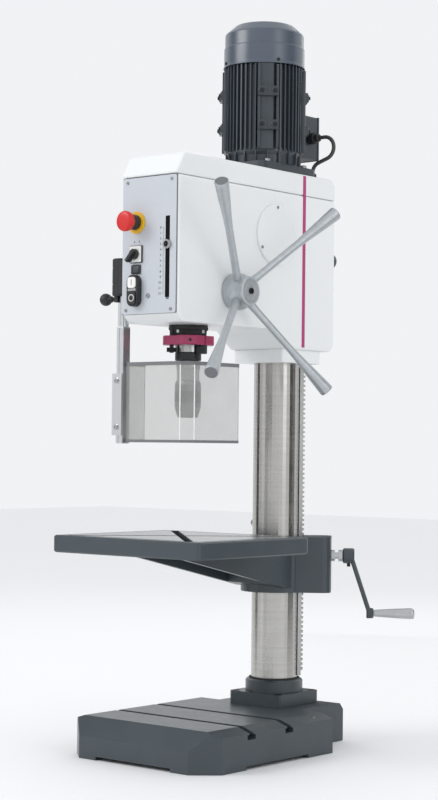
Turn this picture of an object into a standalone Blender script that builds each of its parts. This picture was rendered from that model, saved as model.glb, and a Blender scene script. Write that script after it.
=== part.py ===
"""Pillar drill: a floor-standing drilling machine, built as separate pieces.

Metres, +Z up.  The operator stands at -Y, the feed levers are on the +X side,
and the origin is on the floor under the column's axis.
"""
from math import cos, pi, radians, sin, tau

import bmesh
import bpy
from mathutils import Matrix, Vector

# ---------------------------------------------------------------- driving dimensions
GAP = 0.0003                      # air left between pieces that touch

COLUMN_R = 0.0575
COLUMN_BORE = 0.0495
COLUMN_TOP = 1.198
COLUMN_STEPS = 40

BASE_TOP = 0.0931
BASE_HALF = 0.2234                # half width at the sides
BASE_FRONT = -0.5161
BASE_WIDE_END = -0.055            # where the wide part stops behind the slots
BASE_TAIL_HALF = 0.130
BASE_BACK = 0.1133
BASE_SLOTS = (-0.362, -0.224)     # Y of the two T-slots
FOOT_HEIGHT = 0.008

FLANGE_HALF = 0.0788
FLANGE_TOP = 0.124
NECK_R = 0.0708
NECK_TOP = 0.1551

TABLE_HALF = 0.2244
TABLE_FRONT = -0.5532
TABLE_BACK = -0.1576
TABLE_TOP = 0.5165
TABLE_THICK = 0.0403
COLLAR_R = 0.0853
COLLAR_LOW = 0.3705
COLLAR_TOP = 0.5065
SLOT_WIDTH = 0.018

RACK_ANGLE = radians(36.0)        # the rack's side of the column, from +X towards +Y
RACK_FACE = 0.0705                # tooth tips, from the column's axis
RACK_LOW = 0.162
RACK_TOP = 0.925
RACK_PITCH = 0.0115
LIFT_TEETH = 9
LIFT_Z = 0.4250                   # axis of the lift pinion
WORM_SIDE = -0.019                # the worm runs beside the rack
CRANK_Z = 0.4598
CRANK_DROP = 0.1404

HEAD_HALF = 0.0852
HEAD_FRONT = -0.4757
HEAD_BACK = 0.1215
HEAD_BOTTOM = 1.0092
HEAD_REAR_BOTTOM = 0.9654
HEAD_SEAM = 1.3455
HEAD_WALL = 0.009
LID_TOP = 1.3975
LID_FRONT = -0.4810
PANEL_FRONT = -0.4787

MOTOR_Y = -0.0642
MOTOR_R = 0.0965
MOTOR_LOW = 1.4148
MOTOR_BODY = 1.4470
MOTOR_TOP = 1.6555
FAN_COVER_TOP = 1.7620

QUILL_Y = -0.338
QUILL_R = 0.031
QUILL_LOW = 0.9465
QUILL_TOP = 1.235
SPINDLE_R = 0.013
CHUCK_R = 0.0308
ROD_X, ROD_Y = -0.0144, -0.3806   # the depth stop's threaded rod
BELT_Z = 1.295
PULLEY_R = 0.045

FEED_PITCH = 0.011
FEED_TEETH = 18
FEED_Y = -0.278
FEED_Z = 1.089
FEED_ARM_ANGLE = radians(41.25)   # how the four levers stand at rest
FEED_ARM_TILT = 0.36              # how far they lean outwards, per metre of reach
FEED_ARM_REACH = 0.303

CONTROL_X = -0.038                # the switches stand in one line on the panel
POST_X, POST_Y = -0.100, -0.4535  # the guard swings round this post

# ---------------------------------------------------------------- clean scene, collections
for leftover in list(bpy.data.objects):
    bpy.data.objects.remove(leftover, do_unlink=True)

parts = bpy.data.collections.new("pillar_drill")
cutters = bpy.data.collections.new("cutters")
bpy.context.scene.collection.children.link(parts)
bpy.context.scene.collection.children.link(cutters)


def finish(name, colour, roughness, metallic=0.0):
    """One Principled material."""
    made = bpy.data.materials.new(name)
    made.use_nodes = True
    shader = made.node_tree.nodes["Principled BSDF"]
    shader.inputs["Base Color"].default_value = (*colour, 1.0)
    shader.inputs["Roughness"].default_value = roughness
    shader.inputs["Metallic"].default_value = metallic
    made.diffuse_color = (*colour, 1.0)
    return made


SLATE = finish("slate_paint", (0.055, 0.066, 0.074), 0.45)
WHITE = finish("white_paint", (0.74, 0.78, 0.79), 0.35)
PANEL_GREY = finish("panel_grey", (0.50, 0.53, 0.53), 0.4)
MOTOR_GREY = finish("motor_grey", (0.10, 0.12, 0.14), 0.45)
RED = finish("collar_red", (0.30, 0.03, 0.09), 0.4)
STEEL = finish("ground_steel", (0.45, 0.46, 0.47), 0.3, 1.0)
CHROME = finish("polished_steel", (0.72, 0.74, 0.76), 0.15, 1.0)
BLACK = finish("black_plastic", (0.015, 0.015, 0.016), 0.45)
CLEAR = finish("clear_sheet", (0.75, 0.80, 0.80), 0.1)
STOP_RED = finish("stop_red", (0.55, 0.01, 0.03), 0.35)
YELLOW = finish("warning_yellow", (0.80, 0.60, 0.02), 0.4)
BUTTON_WHITE = finish("button_white", (0.80, 0.80, 0.80), 0.35)
RUBBER = finish("black_rubber", (0.02, 0.02, 0.02), 0.7)


# ---------------------------------------------------------------- modelling helpers
def add(name, mesh, material):
    """A named object in the parts collection, shaded smooth except at its real edges."""
    made = bpy.data.objects.new(name, mesh)
    parts.objects.link(made)
    mesh.materials.clear()
    mesh.materials.append(material)
    mesh.shade_smooth()
    mesh.set_sharp_from_angle(angle=radians(30))
    return made


def from_bmesh(name, bm, material):
    mesh = bpy.data.meshes.new(name)
    bm.to_mesh(mesh)
    bm.free()
    return add(name, mesh, material)


def soften(piece, width, segments=2, angle=35):
    bevel = piece.modifiers.new("edges", "BEVEL")
    bevel.width = width
    bevel.segments = segments
    bevel.limit_method = "ANGLE"
    bevel.angle_limit = radians(angle)
    return piece


def box(name, low, high, material, edge=0.0):
    """A block between two corners."""
    low, high = Vector(low), Vector(high)
    bm = bmesh.new()
    stretch = Matrix.Diagonal((*(high - low), 1.0))
    bmesh.ops.create_cube(bm, size=1.0, matrix=Matrix.Translation((low + high) / 2) @ stretch)
    made = from_bmesh(name, bm, material)
    return soften(made, edge) if edge else made


def aim(centre, axis):
    """A matrix that takes local +Z to the given axis, at the given centre."""
    turn = Vector((0, 0, 1)).rotation_difference(Vector(axis).normalized())
    return Matrix.Translation(centre) @ turn.to_matrix().to_4x4()


def rod(name, centre, axis, radius, start, end, material, steps=24, end_radius=None):
    """A cylinder or cone along an axis, from start to end as measured from the centre."""
    bm = bmesh.new()
    shift = Matrix.Translation((0, 0, (start + end) / 2))
    bmesh.ops.create_cone(bm, cap_ends=True, segments=steps, radius1=radius,
                          radius2=radius if end_radius is None else end_radius,
                          depth=end - start, matrix=aim(centre, axis) @ shift)
    return from_bmesh(name, bm, material)


def turned(name, centre, axis, profile, material, steps=24, ring=False):
    """A profile of (radius, height) points, listed down its outer side, turned by Screw."""
    bm = bmesh.new()
    corners = [bm.verts.new((radius, 0.0, height)) for radius, height in profile]
    for first, second in zip(corners, corners[1:]):
        bm.edges.new((first, second))
    if ring:
        bm.edges.new((corners[-1], corners[0]))
    made = from_bmesh(name, bm, material)
    made.matrix_world = aim(centre, axis)
    screw = made.modifiers.new("turn", "SCREW")
    screw.axis = "Z"
    screw.angle = tau
    screw.steps = steps
    screw.render_steps = steps
    screw.use_merge_vertices = True
    screw.merge_threshold = 0.00001
    screw.use_smooth_shade = True
    return made


def outlined(name, outline, low, high, frame, material):
    """A flat outline given thickness from low to high along the frame's local Z."""
    bm = bmesh.new()
    below = [bm.verts.new((across, along, low)) for across, along in outline]
    above = [bm.verts.new((across, along, high)) for across, along in outline]
    bm.faces.new(below)
    bm.faces.new(above)
    for here in range(len(outline)):
        after = (here + 1) % len(outline)
        bm.faces.new((below[here], below[after], above[after], above[here]))
    bmesh.ops.recalc_face_normals(bm, faces=bm.faces)
    made = from_bmesh(name, bm, material)
    made.matrix_world = frame
    return made


PLAN = Matrix.Identity(4)                                    # outline (X, Y), thickness Z
SIDE = Matrix(((0, 0, 1, 0), (1, 0, 0, 0), (0, 1, 0, 0), (0, 0, 0, 1)))   # (Y, Z), thickness X


def boolean(piece, tool, operation):
    step = piece.modifiers.new(operation.lower(), "BOOLEAN")
    step.operation = operation
    step.object = tool
    parts.objects.unlink(tool)
    cutters.objects.link(tool)
    tool.display_type = "WIRE"
    tool.hide_render = True
    return piece


def cut(piece, tool):
    return boolean(piece, tool, "DIFFERENCE")


def join(piece, tool):
    return boolean(piece, tool, "UNION")


def pivot(piece, point):
    """Moves a piece's origin to a point on its joint's axis."""
    shift = piece.matrix_world.inverted() @ Vector(point)
    piece.data.transform(Matrix.Translation(-shift))
    piece.matrix_world = piece.matrix_world @ Matrix.Translation(shift)
    return piece


def arc(centre, radius, start, end, count):
    """Points along an arc, angles in degrees."""
    turns = [radians(start + (end - start) * step / count) for step in range(count + 1)]
    return [(centre[0] + radius * cos(turn), centre[1] + radius * sin(turn)) for turn in turns]


def rounded_rectangle(low, high, radius, count=4):
    left, bottom, right, top = low[0] + radius, low[1] + radius, high[0] - radius, high[1] - radius
    return (arc((right, bottom), radius, -90, 0, count) + arc((right, top), radius, 0, 90, count)
            + arc((left, top), radius, 90, 180, count) + arc((left, bottom), radius, 180, 270, count))


TOOTH_ADDENDUM = 0.0018
TOOTH_DEDENDUM = 0.0027
TOOTH_WIDTHS = ((-TOOTH_DEDENDUM, 0.29), (TOOTH_ADDENDUM, 0.15))     # height, half width / pitch


def gear_outline(teeth, pitch, first_tooth):
    """Straight-flanked teeth on their pitch circle, with one tooth at the given angle."""
    radius = teeth * pitch / tau
    points = []
    for tooth in range(teeth):
        middle = first_tooth + tau * tooth / teeth
        flank = [(height, -half * pitch / radius) for height, half in TOOTH_WIDTHS]
        flank += [(height, half * pitch / radius) for height, half in reversed(TOOTH_WIDTHS)]
        points += [((radius + height) * cos(middle + turn), (radius + height) * sin(middle + turn))
                   for height, turn in flank]
    return points


def rack_edge(pitch, low, high, gap_at):
    """The toothed edge of a rack as (height above the pitch line, place), going up."""
    edge = []
    tooth = int((low - gap_at) / pitch) - 1
    while True:
        middle = gap_at + (tooth + 0.5) * pitch
        tooth += 1
        if middle - 0.5 * pitch < low:
            continue
        if middle + 0.5 * pitch > high:
            return edge
        edge += [(height, middle - half * pitch) for height, half in TOOTH_WIDTHS]
        edge += [(height, middle + half * pitch) for height, half in reversed(TOOTH_WIDTHS)]


# ---------------------------------------------------------------- base and column
def make_base():
    corner = 0.056
    front = BASE_FRONT
    half, tail = BASE_HALF, BASE_TAIL_HALF
    outline = [(-half + corner, front), (half - corner, front), (half, front + 0.0505),
               (half, BASE_WIDE_END), (tail, BASE_WIDE_END), (tail, BASE_BACK),
               (-tail, BASE_BACK), (-tail, BASE_WIDE_END), (-half, BASE_WIDE_END),
               (-half, front + 0.0505)]
    base = outlined("base", outline, 0.0, BASE_TOP, PLAN, SLATE)
    # the sloping nose, the two shallow side slopes and the slope at the back
    slopes = (((0, -0.4764, BASE_TOP), (0, front, 0.0521), (1, 0, 0)),
              ((0.1886, 0, BASE_TOP), (half, 0, 0.0813), (0, 1, 0)),
              ((-0.1886, 0, BASE_TOP), (-half, 0, 0.0813), (0, -1, 0)),
              ((0, 0.1001, BASE_TOP), (0, BASE_BACK, 0.0778), (-1, 0, 0)))
    for number, (upper, lower, run) in enumerate(slopes):
        down = (Vector(lower) - Vector(upper)).normalized()
        out = down.cross(Vector(run)).normalized()
        if out.z < 0:
            out = -out
        wedge = box(f"base_slope_{number}", (-0.5, -0.5, 0.0), (0.5, 0.5, 0.2), SLATE)
        facing = Matrix((Vector(run), down, out)).transposed()
        if facing.determinant() < 0:
            facing = Matrix((-Vector(run), down, out)).transposed()
        wedge.matrix_world = Matrix.Translation(upper) @ facing.to_4x4()
        cut(base, wedge)
    for number, y in enumerate(BASE_SLOTS):
        cut(base, box(f"base_slot_{number}", (-0.3, y - 0.008, 0.0775), (0.3, y + 0.008, 0.12), SLATE))
        cut(base, box(f"base_tee_{number}", (-0.3, y - 0.0145, 0.0670), (0.3, y + 0.0145, 0.0780), SLATE))
    # ribbed and hollow from below
    for number, (left, right) in enumerate(((-0.205, -0.072), (-0.060, 0.060), (0.072, 0.205))):
        for row, (near, far) in enumerate(((-0.450, -0.295), (-0.283, -0.128))):
            cut(base, box(f"base_pocket_{number}_{row}", (left, near, -0.02), (right, far, 0.045), SLATE))
    cut(base, box("base_pocket_tail", (-0.060, -0.115, -0.02), (0.060, -0.030, 0.045), SLATE))
    # the casting stands on its corners and on the pad under the column
    cut(base, box("base_arch_front", (-0.115, -0.6, -0.01), (0.115, -0.12, FOOT_HEIGHT), SLATE))
    cut(base, box("base_arch_side", (-0.3, -0.38, -0.01), (0.3, -0.15, FOOT_HEIGHT), SLATE))


def make_column():
    low = BASE_TOP + GAP
    square = rounded_rectangle((-FLANGE_HALF,) * 2, (FLANGE_HALF,) * 2, 0.008, 2)
    flange = outlined("column_flange", square, low, FLANGE_TOP, PLAN, SLATE)
    neck = turned("flange_neck", (0, 0, 0), (0, 0, 1),
                  [(0, NECK_TOP), (0.064, NECK_TOP), (0.0685, NECK_TOP - 0.002),
                   (NECK_R, NECK_TOP - 0.005), (NECK_R, low + 0.01), (0, low + 0.01)],
                  SLATE, COLUMN_STEPS)
    join(flange, neck)
    cut(flange, rod("flange_bore", (0, 0, 0), (0, 0, 1), COLUMN_R + GAP, 0.05, 0.2, SLATE,
                    COLUMN_STEPS))
    turned("column", (0, 0, 0), (0, 0, 1),
           [(COLUMN_R - 0.001, COLUMN_TOP), (COLUMN_R, COLUMN_TOP - 0.001), (COLUMN_R, low),
            (COLUMN_BORE, low), (COLUMN_BORE, COLUMN_TOP)], STEEL, COLUMN_STEPS, ring=True)


# ---------------------------------------------------------------- rack, table and its crank
def radial(distance, side=0.0, height=0.0):
    """A point given along the rack's direction, sideways from it, and by height."""
    return Vector((distance * cos(RACK_ANGLE) - side * sin(RACK_ANGLE),
                   distance * sin(RACK_ANGLE) + side * cos(RACK_ANGLE), height))


OUTWARD = radial(1.0)
ACROSS = radial(0.0, 1.0)
RADIAL = Matrix.Rotation(RACK_ANGLE, 4, "Z")
RACK_PITCH_LINE = RACK_FACE - TOOTH_ADDENDUM
LIFT_RADIUS = LIFT_TEETH * RACK_PITCH / tau
LIFT_REACH = RACK_PITCH_LINE + LIFT_RADIUS


def radial_box(name, low, high, material, edge=0.0):
    made = box(name, low, high, material, edge)
    made.matrix_world = RADIAL
    return made


def make_rack():
    teeth = rack_edge(RACK_PITCH, RACK_LOW, RACK_TOP, LIFT_Z)
    outer = [(RACK_PITCH_LINE + height, z) for height, z in teeth]
    root = RACK_PITCH_LINE - TOOTH_DEDENDUM
    outline = ([(COLUMN_R + GAP, RACK_LOW), (root, RACK_LOW)] + outer
               + [(root, RACK_TOP), (COLUMN_R + GAP, RACK_TOP)])
    upright = RADIAL @ Matrix(((1, 0, 0, 0), (0, 0, -1, 0), (0, 1, 0, 0), (0, 0, 0, 1)))
    rack = outlined("column_rack", outline, -0.011, 0.011, upright, STEEL)
    pivot(rack, (0, 0, 0))


def make_table():
    low = TABLE_TOP - TABLE_THICK
    middle = (TABLE_FRONT + TABLE_BACK) / 2
    plan = rounded_rectangle((-TABLE_HALF, TABLE_FRONT), (TABLE_HALF, TABLE_BACK), 0.007, 2)
    table = outlined("table", plan, low, TABLE_TOP, PLAN, SLATE)
    soften(table, 0.0035, 1, 60)
    # the support: a sloping gusset, the collar and the lift gear's housing
    gusset = [(-0.455, low + 0.006), (-0.455, low - 0.004), (-0.055, 0.3830),
              (0.030, 0.3830), (0.030, COLLAR_TOP - 0.004), (-0.150, COLLAR_TOP - 0.004),
              (-0.170, low + 0.006)]
    join(table, outlined("table_gusset", gusset, -0.078, 0.078, SIDE, SLATE))
    join(table, rod("table_collar", (0, 0, 0), (0, 0, 1), COLLAR_R, COLLAR_LOW, COLLAR_TOP,
                    SLATE, COLUMN_STEPS))
    housing = rounded_rectangle((0.0, -0.066), (0.1390, 0.050), 0.020, 3)
    join(table, outlined("table_gear_housing", housing, COLLAR_LOW, COLLAR_TOP, RADIAL, SLATE))
    cut(table, box("gusset_hollow", (-0.066, -0.440, 0.30), (0.066, -0.105, 0.4740), SLATE))
    # column, rack and gear space
    cut(table, rod("table_bore", (0, 0, 0), (0, 0, 1), COLUMN_R + 0.0006, 0.3, 0.6, SLATE,
                   COLUMN_STEPS))
    cut(table, radial_box("rack_way", (0.02, -0.0118, 0.3), (RACK_FACE + 0.001, 0.0118, 0.6), SLATE))
    cut(table, radial_box("gear_space", (0.0600, -0.0310, 0.3960), (0.1270, 0.0150, 0.4790), SLATE))
    cut(table, rod("crank_bore", radial(0, WORM_SIDE, CRANK_Z), OUTWARD, 0.0084, 0.11, 0.16, SLATE, 16))
    # two T-slots cross the work surface corner to corner
    reach = 0.262
    for number, turn in enumerate((45, -45)):
        for level, (half, bottom, top) in enumerate(((SLOT_WIDTH / 2, 0.4995, 0.56),
                                                     (0.014, 0.4890, 0.5000))):
            slot = box(f"table_slot_{number}_{level}", (-reach, -half, bottom), (reach, half, top), SLATE)
            slot.matrix_world = (Matrix.Translation((0, middle, 0))
                                 @ Matrix.Rotation(radians(turn), 4, "Z"))
            cut(table, slot)
    pivot(table, (0, 0, LIFT_Z))


def make_lift_gear():
    """The worm wheel and the pinion that climbs the rack, on one cross shaft."""
    centre = radial(LIFT_REACH, 0, LIFT_Z)
    # local X up, local Y along the outward direction, local Z across
    cross = Matrix((Vector((0, 0, 1)), OUTWARD, -ACROSS)).transposed().to_4x4()
    if cross.determinant() < 0:
        cross = Matrix((Vector((0, 0, 1)), OUTWARD, ACROSS)).transposed().to_4x4()
    frame = Matrix.Translation(centre) @ cross
    outline = gear_outline(LIFT_TEETH, RACK_PITCH, -pi / 2)
    gear = outlined("lift_gear", outline, -0.0095, 0.0095, frame, STEEL)
    join(gear, rod("lift_wheel", centre, ACROSS, 0.0232, WORM_SIDE - 0.006, WORM_SIDE + 0.006, STEEL, 32))
    join(gear, rod("lift_shaft", centre, ACROSS, 0.0080, WORM_SIDE - 0.0110, 0.0140, STEEL, 16))
    pivot(gear, centre)


def make_crank():
    centre = radial(0, WORM_SIDE, CRANK_Z)
    shaft = turned("crank_shaft", centre, OUTWARD,
                   [(0, 0.1930), (0.0078, 0.1930), (0.0080, 0.1670), (0.0145, 0.1666),
                    (0.0145, 0.1570), (0.0080, 0.1566), (0.0080, 0.1480), (0.0142, 0.1478),
                    (0.0142, 0.1395), (0.0080, 0.1393), (0.0080, 0.1000), (0.0105, 0.0998),
                    (0.0105, 0.0735), (0, 0.0735)], STEEL, 16)
    pivot(shaft, centre + 0.15 * OUTWARD)

    hub = turned("crank_arm", centre, OUTWARD,
                 [(0, 0.1962), (0.0165, 0.1962), (0.0188, 0.1930), (0.0188, 0.1700),
                  (0.0150, 0.1670), (0, 0.1670)], MOTOR_GREY, 24)
    grip_z = CRANK_Z - CRANK_DROP
    top, bottom = radial(0.1895, WORM_SIDE, CRANK_Z - 0.006), radial(0.2345, WORM_SIDE, grip_z)
    length = (bottom - top).length
    bar = box("crank_bar", (-0.0105, -0.0055, 0.0), (0.0105, 0.0055, length), MOTOR_GREY, 0.003)
    along = (bottom - top).normalized()
    wide = ACROSS
    bar.matrix_world = (Matrix.Translation(top)
                        @ Matrix((wide, along.cross(wide), along)).transposed().to_4x4())
    join(hub, bar)
    boss = turned("crank_boss", radial(0, WORM_SIDE, grip_z), OUTWARD,
                  [(0, 0.2449), (0.0095, 0.2449), (0.0125, 0.2425), (0.0132, 0.2300),
                   (0.0120, 0.2268), (0, 0.2268)], MOTOR_GREY, 24)
    join(hub, boss)
    cut(hub, rod("crank_shaft_hole", centre, OUTWARD, 0.0083, 0.16, 0.1934, MOTOR_GREY, 16))
    cut(hub, rod("crank_pin_hole", radial(0, WORM_SIDE, grip_z), OUTWARD, 0.0043, 0.2345, 0.26,
                 MOTOR_GREY, 12))
    pivot(hub, centre + 0.15 * OUTWARD)

    grip = turned("crank_grip", radial(0, WORM_SIDE, grip_z), OUTWARD,
                  [(0, 0.3446), (0.0085, 0.3444), (0.0120, 0.3420), (0.0132, 0.3370),
                   (0.0130, 0.3200), (0.0115, 0.2900), (0.0095, 0.2600), (0.0085, 0.2455),
                   (0.0040, 0.2453), (0.0040, 0.2350), (0, 0.2350)], CHROME, 20)
    pivot(grip, radial(0.29, WORM_SIDE, grip_z))


def make_table_clamp():
    """The screw with a ball-ended lever that locks the collar, at the back of the column."""
    outward = Vector((cos(radians(150)), sin(radians(150)), 0))
    centre = Vector((0, 0, 0.44))
    screw = turned("table_clamp", centre, outward,
                   [(0, 0.1120), (0.0100, 0.1120), (0.0120, 0.1100), (0.0120, 0.0990),
                    (0.0070, 0.0985), (0.0070, COLLAR_R + GAP), (0, COLLAR_R + GAP)], STEEL, 16)
    lever = centre + 0.1055 * outward
    tilt = Vector((0, 0, 1)) * 0.94 + outward * 0.34
    join(screw, rod("clamp_lever", lever, tilt, 0.0050, 0.0, 0.090, STEEL, 12))
    bm = bmesh.new()
    bmesh.ops.create_uvsphere(bm, u_segments=14, v_segments=9, radius=0.0125,
                              matrix=Matrix.Translation(lever + tilt.normalized() * 0.098))
    join(screw, from_bmesh("clamp_ball", bm, BLACK))
    pivot(screw, lever)


# ---------------------------------------------------------------- head
def make_head():
    profile = [(HEAD_FRONT, 1.0285), (-0.4547, HEAD_BOTTOM), (-0.1390, HEAD_BOTTOM),
               (-0.0824, HEAD_REAR_BOTTOM), (0.1065, HEAD_REAR_BOTTOM), (HEAD_BACK, 0.9800),
               (HEAD_BACK, HEAD_SEAM), (HEAD_FRONT, HEAD_SEAM)]
    head = outlined("head_casting", profile, -HEAD_HALF, HEAD_HALF, SIDE, WHITE)
    soften(head, 0.006, 2, 20)
    inner = HEAD_HALF - HEAD_WALL
    cavity = [(HEAD_FRONT + 0.010, 1.0400), (-0.4450, 1.0250), (-0.1330, 1.0250),
              (-0.0760, 0.9820), (HEAD_BACK - HEAD_WALL, 0.9820),
              (HEAD_BACK - HEAD_WALL, HEAD_SEAM + 0.05), (HEAD_FRONT + 0.010, HEAD_SEAM + 0.05)]
    cut(head, outlined("head_cavity", cavity, -inner, inner, SIDE, WHITE))
    join(head, rod("quill_boss", (0, QUILL_Y, 0), (0, 0, 1), 0.0520, 1.015, 1.048, WHITE, 32))
    join(head, rod("column_socket", (0, 0, 0), (0, 0, 1), 0.0730, 0.970, 1.190, WHITE, COLUMN_STEPS))
    cut(head, rod("quill_bore", (0, QUILL_Y, 0), (0, 0, 1), QUILL_R + GAP, 0.98, 1.10, WHITE, 32))
    cut(head, rod("column_bore", (0, 0, 0), (0, 0, 1), COLUMN_R + GAP, 0.90, 1.25, WHITE, COLUMN_STEPS))
    cut(head, rod("feed_bore", (0, FEED_Y, FEED_Z), (1, 0, 0), 0.0104, -0.1, 0.1, WHITE, 16))
    cut(head, rod("stop_rod_bore", (ROD_X, ROD_Y, 0), (0, 0, 1), 0.0056, 0.98, 1.10, WHITE, 12))
    # the depth pointer's stem travels in this slot
    cut(head, box("pointer_slot", (0.0515, -0.50, 1.0550), (0.0635, -0.45, 1.2560), WHITE))

    lid_profile = [(LID_FRONT, HEAD_SEAM + GAP), (HEAD_BACK, HEAD_SEAM + GAP), (HEAD_BACK, 1.3760)]
    lid_profile += arc((HEAD_BACK - 0.0215, 1.3760), 0.0215, 0, 90, 4)[1:]
    lid_profile += [(-0.4500, LID_TOP), (-0.4565, 1.3935), (LID_FRONT, 1.3520)]
    lid = outlined("head_cover", lid_profile, -HEAD_HALF, HEAD_HALF, SIDE, WHITE)
    soften(lid, 0.004, 2, 50)
    hollow = [(LID_FRONT + 0.010, 1.30), (HEAD_BACK - 0.006, 1.30), (HEAD_BACK - 0.006, 1.3740),
              (0.0950, 1.3930), (-0.4520, 1.3930), (LID_FRONT + 0.010, 1.3540)]
    cut(lid, outlined("cover_hollow", hollow, -HEAD_HALF + 0.005, HEAD_HALF - 0.005, SIDE, WHITE))
    cut(lid, rod("shaft_clearance", (0, MOTOR_Y, 0), (0, 0, 1), 0.0160, 1.3, 1.5, WHITE, 20))

    square = rounded_rectangle((-0.0771,) * 2, (0.0771,) * 2, 0.006, 2)
    clamp = outlined("head_clamp_flange", square, 0.9333, HEAD_REAR_BOTTOM - GAP, PLAN, WHITE)
    cut(clamp, rod("clamp_bore", (0, 0, 0), (0, 0, 1), COLUMN_R + GAP, 0.9, 1.0, WHITE, COLUMN_STEPS))

    panel = outlined("control_panel", rounded_rectangle((-0.0825, 1.0290), (0.0825, 1.3435), 0.005, 2),
                     -HEAD_FRONT + GAP, -PANEL_FRONT,
                     Matrix(((1, 0, 0, 0), (0, 0, -1, 0), (0, 1, 0, 0), (0, 0, 0, 1))), PANEL_GREY)
    cut(panel, box("panel_slot", (0.0530, -0.50, 1.0600), (0.0620, -0.45, 1.2505), PANEL_GREY))

    turned("side_cover", (HEAD_HALF + GAP, -0.1180, 1.2374), (1, 0, 0),
           [(0, 0.0048), (0.0700, 0.0048), (0.0735, 0.0035), (0.0745, 0.0015), (0.0745, 0), (0, 0)],
           WHITE, 32)


# ---------------------------------------------------------------- motor
def make_motor():
    axis, up = (0, MOTOR_Y, 0), (0, 0, 1)
    plate = rounded_rectangle((-0.0830, MOTOR_Y - 0.1050), (0.0830, 0.0470), 0.016, 3)
    flange = outlined("motor_flange", plate, LID_TOP + GAP, MOTOR_LOW - GAP, PLAN, MOTOR_GREY)
    cut(flange, rod("flange_shaft_hole", axis, up, 0.0160, 1.3, 1.5, MOTOR_GREY, 20))

    # cooling fins all round, broken by a smooth pad on each diagonal
    fins, fin_root, pad_half = 48, 0.0880, 13.5
    outline = []
    for fin in range(fins):
        middle = 360.0 * (fin + 0.5) / fins
        if abs((middle % 90.0) - 45.0) < pad_half:
            step = 180.0 / fins
            outline += arc((0, MOTOR_Y), MOTOR_R + 0.0012, middle - step, middle + step, 1)[:-1]
            continue
        outline += arc((0, MOTOR_Y), fin_root, middle - 3.75, middle - 1.45, 1)
        outline += arc((0, MOTOR_Y), MOTOR_R, middle - 1.10, middle + 1.10, 1)
        outline += [arc((0, MOTOR_Y), fin_root, middle + 1.45, middle + 1.45, 1)[0]]
    housing = outlined("motor_housing", outline, MOTOR_BODY, MOTOR_TOP, PLAN, MOTOR_GREY)
    bell = turned("motor_bell", axis, up,
                  [(0, MOTOR_BODY + 0.004), (0.0915, MOTOR_BODY + 0.004), (0.0915, MOTOR_BODY - 0.004),
                   (0.0870, MOTOR_BODY - 0.012), (0.0860, MOTOR_LOW), (0, MOTOR_LOW)], MOTOR_GREY, 32)
    join(housing, bell)
    for number in range(4):
        turn = radians(45 + 90 * number)
        out, along = Vector((cos(turn), sin(turn), 0)), Vector((-sin(turn), cos(turn), 0))
        for level, z in enumerate((1.5862, 1.5046)):
            lug = box(f"motor_lug_{number}_{level}", (0.085, -0.0255, -0.0115), (0.1065, 0.0255, 0.0115),
                      MOTOR_GREY)
            lug.matrix_world = (Matrix.Translation((0, MOTOR_Y, z))
                                @ Matrix((out, along, Vector(up))).transposed().to_4x4())
            join(housing, lug)
    cut(housing, rod("stator_bore", axis, up, 0.0500, 1.4600, 1.70, MOTOR_GREY, 32))
    cut(housing, rod("shaft_way", axis, up, 0.0118, 1.39, 1.48, MOTOR_GREY, 20))

    rotor = turned("motor_rotor", axis, up,
                   [(0, 1.7060), (0.0080, 1.7060), (0.0080, 1.6500), (0.0110, 1.6480), (0.0110, 1.6350),
                    (0.0460, 1.6330), (0.0460, 1.4850), (0.0110, 1.4830), (0.0110, 1.2680), (0, 1.2680)],
                   STEEL, 24)
    pivot(rotor, (0, MOTOR_Y, 1.5))

    blades = 7
    fan_outline = []
    for blade in range(blades):
        middle = 360.0 * blade / blades
        fan_outline += [arc((0, MOTOR_Y), 0.0180, middle - 9, middle - 9, 1)[0]]
        fan_outline += arc((0, MOTOR_Y), 0.0800, middle - 1.5, middle + 1.5, 1)
        fan_outline += [arc((0, MOTOR_Y), 0.0180, middle + 9, middle + 9, 1)[0]]
    fan = outlined("motor_fan", fan_outline, 1.6700, 1.6980, PLAN, BLACK)
    cut(fan, rod("fan_bore", axis, up, 0.0083, 1.6, 1.8, BLACK, 16))
    pivot(fan, (0, MOTOR_Y, 1.68))

    outer = [(0.0, FAN_COVER_TOP), (0.0180, FAN_COVER_TOP), (0.0690, FAN_COVER_TOP), (0.0730, FAN_COVER_TOP - 0.0025),
             (0.0945, 1.7405), (0.0968, 1.7365), (0.0968, 1.7065), (0.0990, 1.7045),
             (0.0990, 1.6620), (0.1008, MOTOR_TOP + GAP)]
    inner = [(0.0992, MOTOR_TOP + GAP), (0.0972, 1.6620), (0.0972, 1.7040), (0.0950, 1.7060),
             (0.0950, 1.7360), (0.0720, FAN_COVER_TOP - 0.0050), (0.0, FAN_COVER_TOP - 0.0050)]
    cover = turned("fan_cover", axis, up, outer + inner, MOTOR_GREY, 36)
    for hole in range(8):
        turn = tau * hole / 8 + 0.03
        place = (0.046 * cos(turn), MOTOR_Y + 0.046 * sin(turn), 0)
        cut(cover, rod(f"fan_hole_{hole}", place, up, 0.0110, 1.74, 1.78, MOTOR_GREY, 8))

    terminal = box("terminal_box", (-0.0430, 0.0000, 1.4490), (0.0430, 0.1010, 1.5570), MOTOR_GREY, 0.004)
    cut(terminal, rod("terminal_saddle", axis, up, MOTOR_R + 0.0016, 1.3, 1.7, MOTOR_GREY, 40))
    gland_y, gland_z = 0.0657, 1.4990
    turned("lead_gland", (0.0430, gland_y, gland_z), (1, 0, 0),
           [(0, 0.0330), (0.0075, 0.0330), (0.0100, 0.0300), (0.0100, 0.0200), (0.0145, 0.0190),
            (0.0145, GAP), (0, GAP)], BLACK, 16)
    turned("lead_grommet", (0.0560, 0.0640, 0), up,
           [(0, 1.4105), (0.0070, 1.4105), (0.0095, 1.4080), (0.0095, LID_TOP + GAP),
            (0, LID_TOP + GAP)], BLACK, 16)


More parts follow.
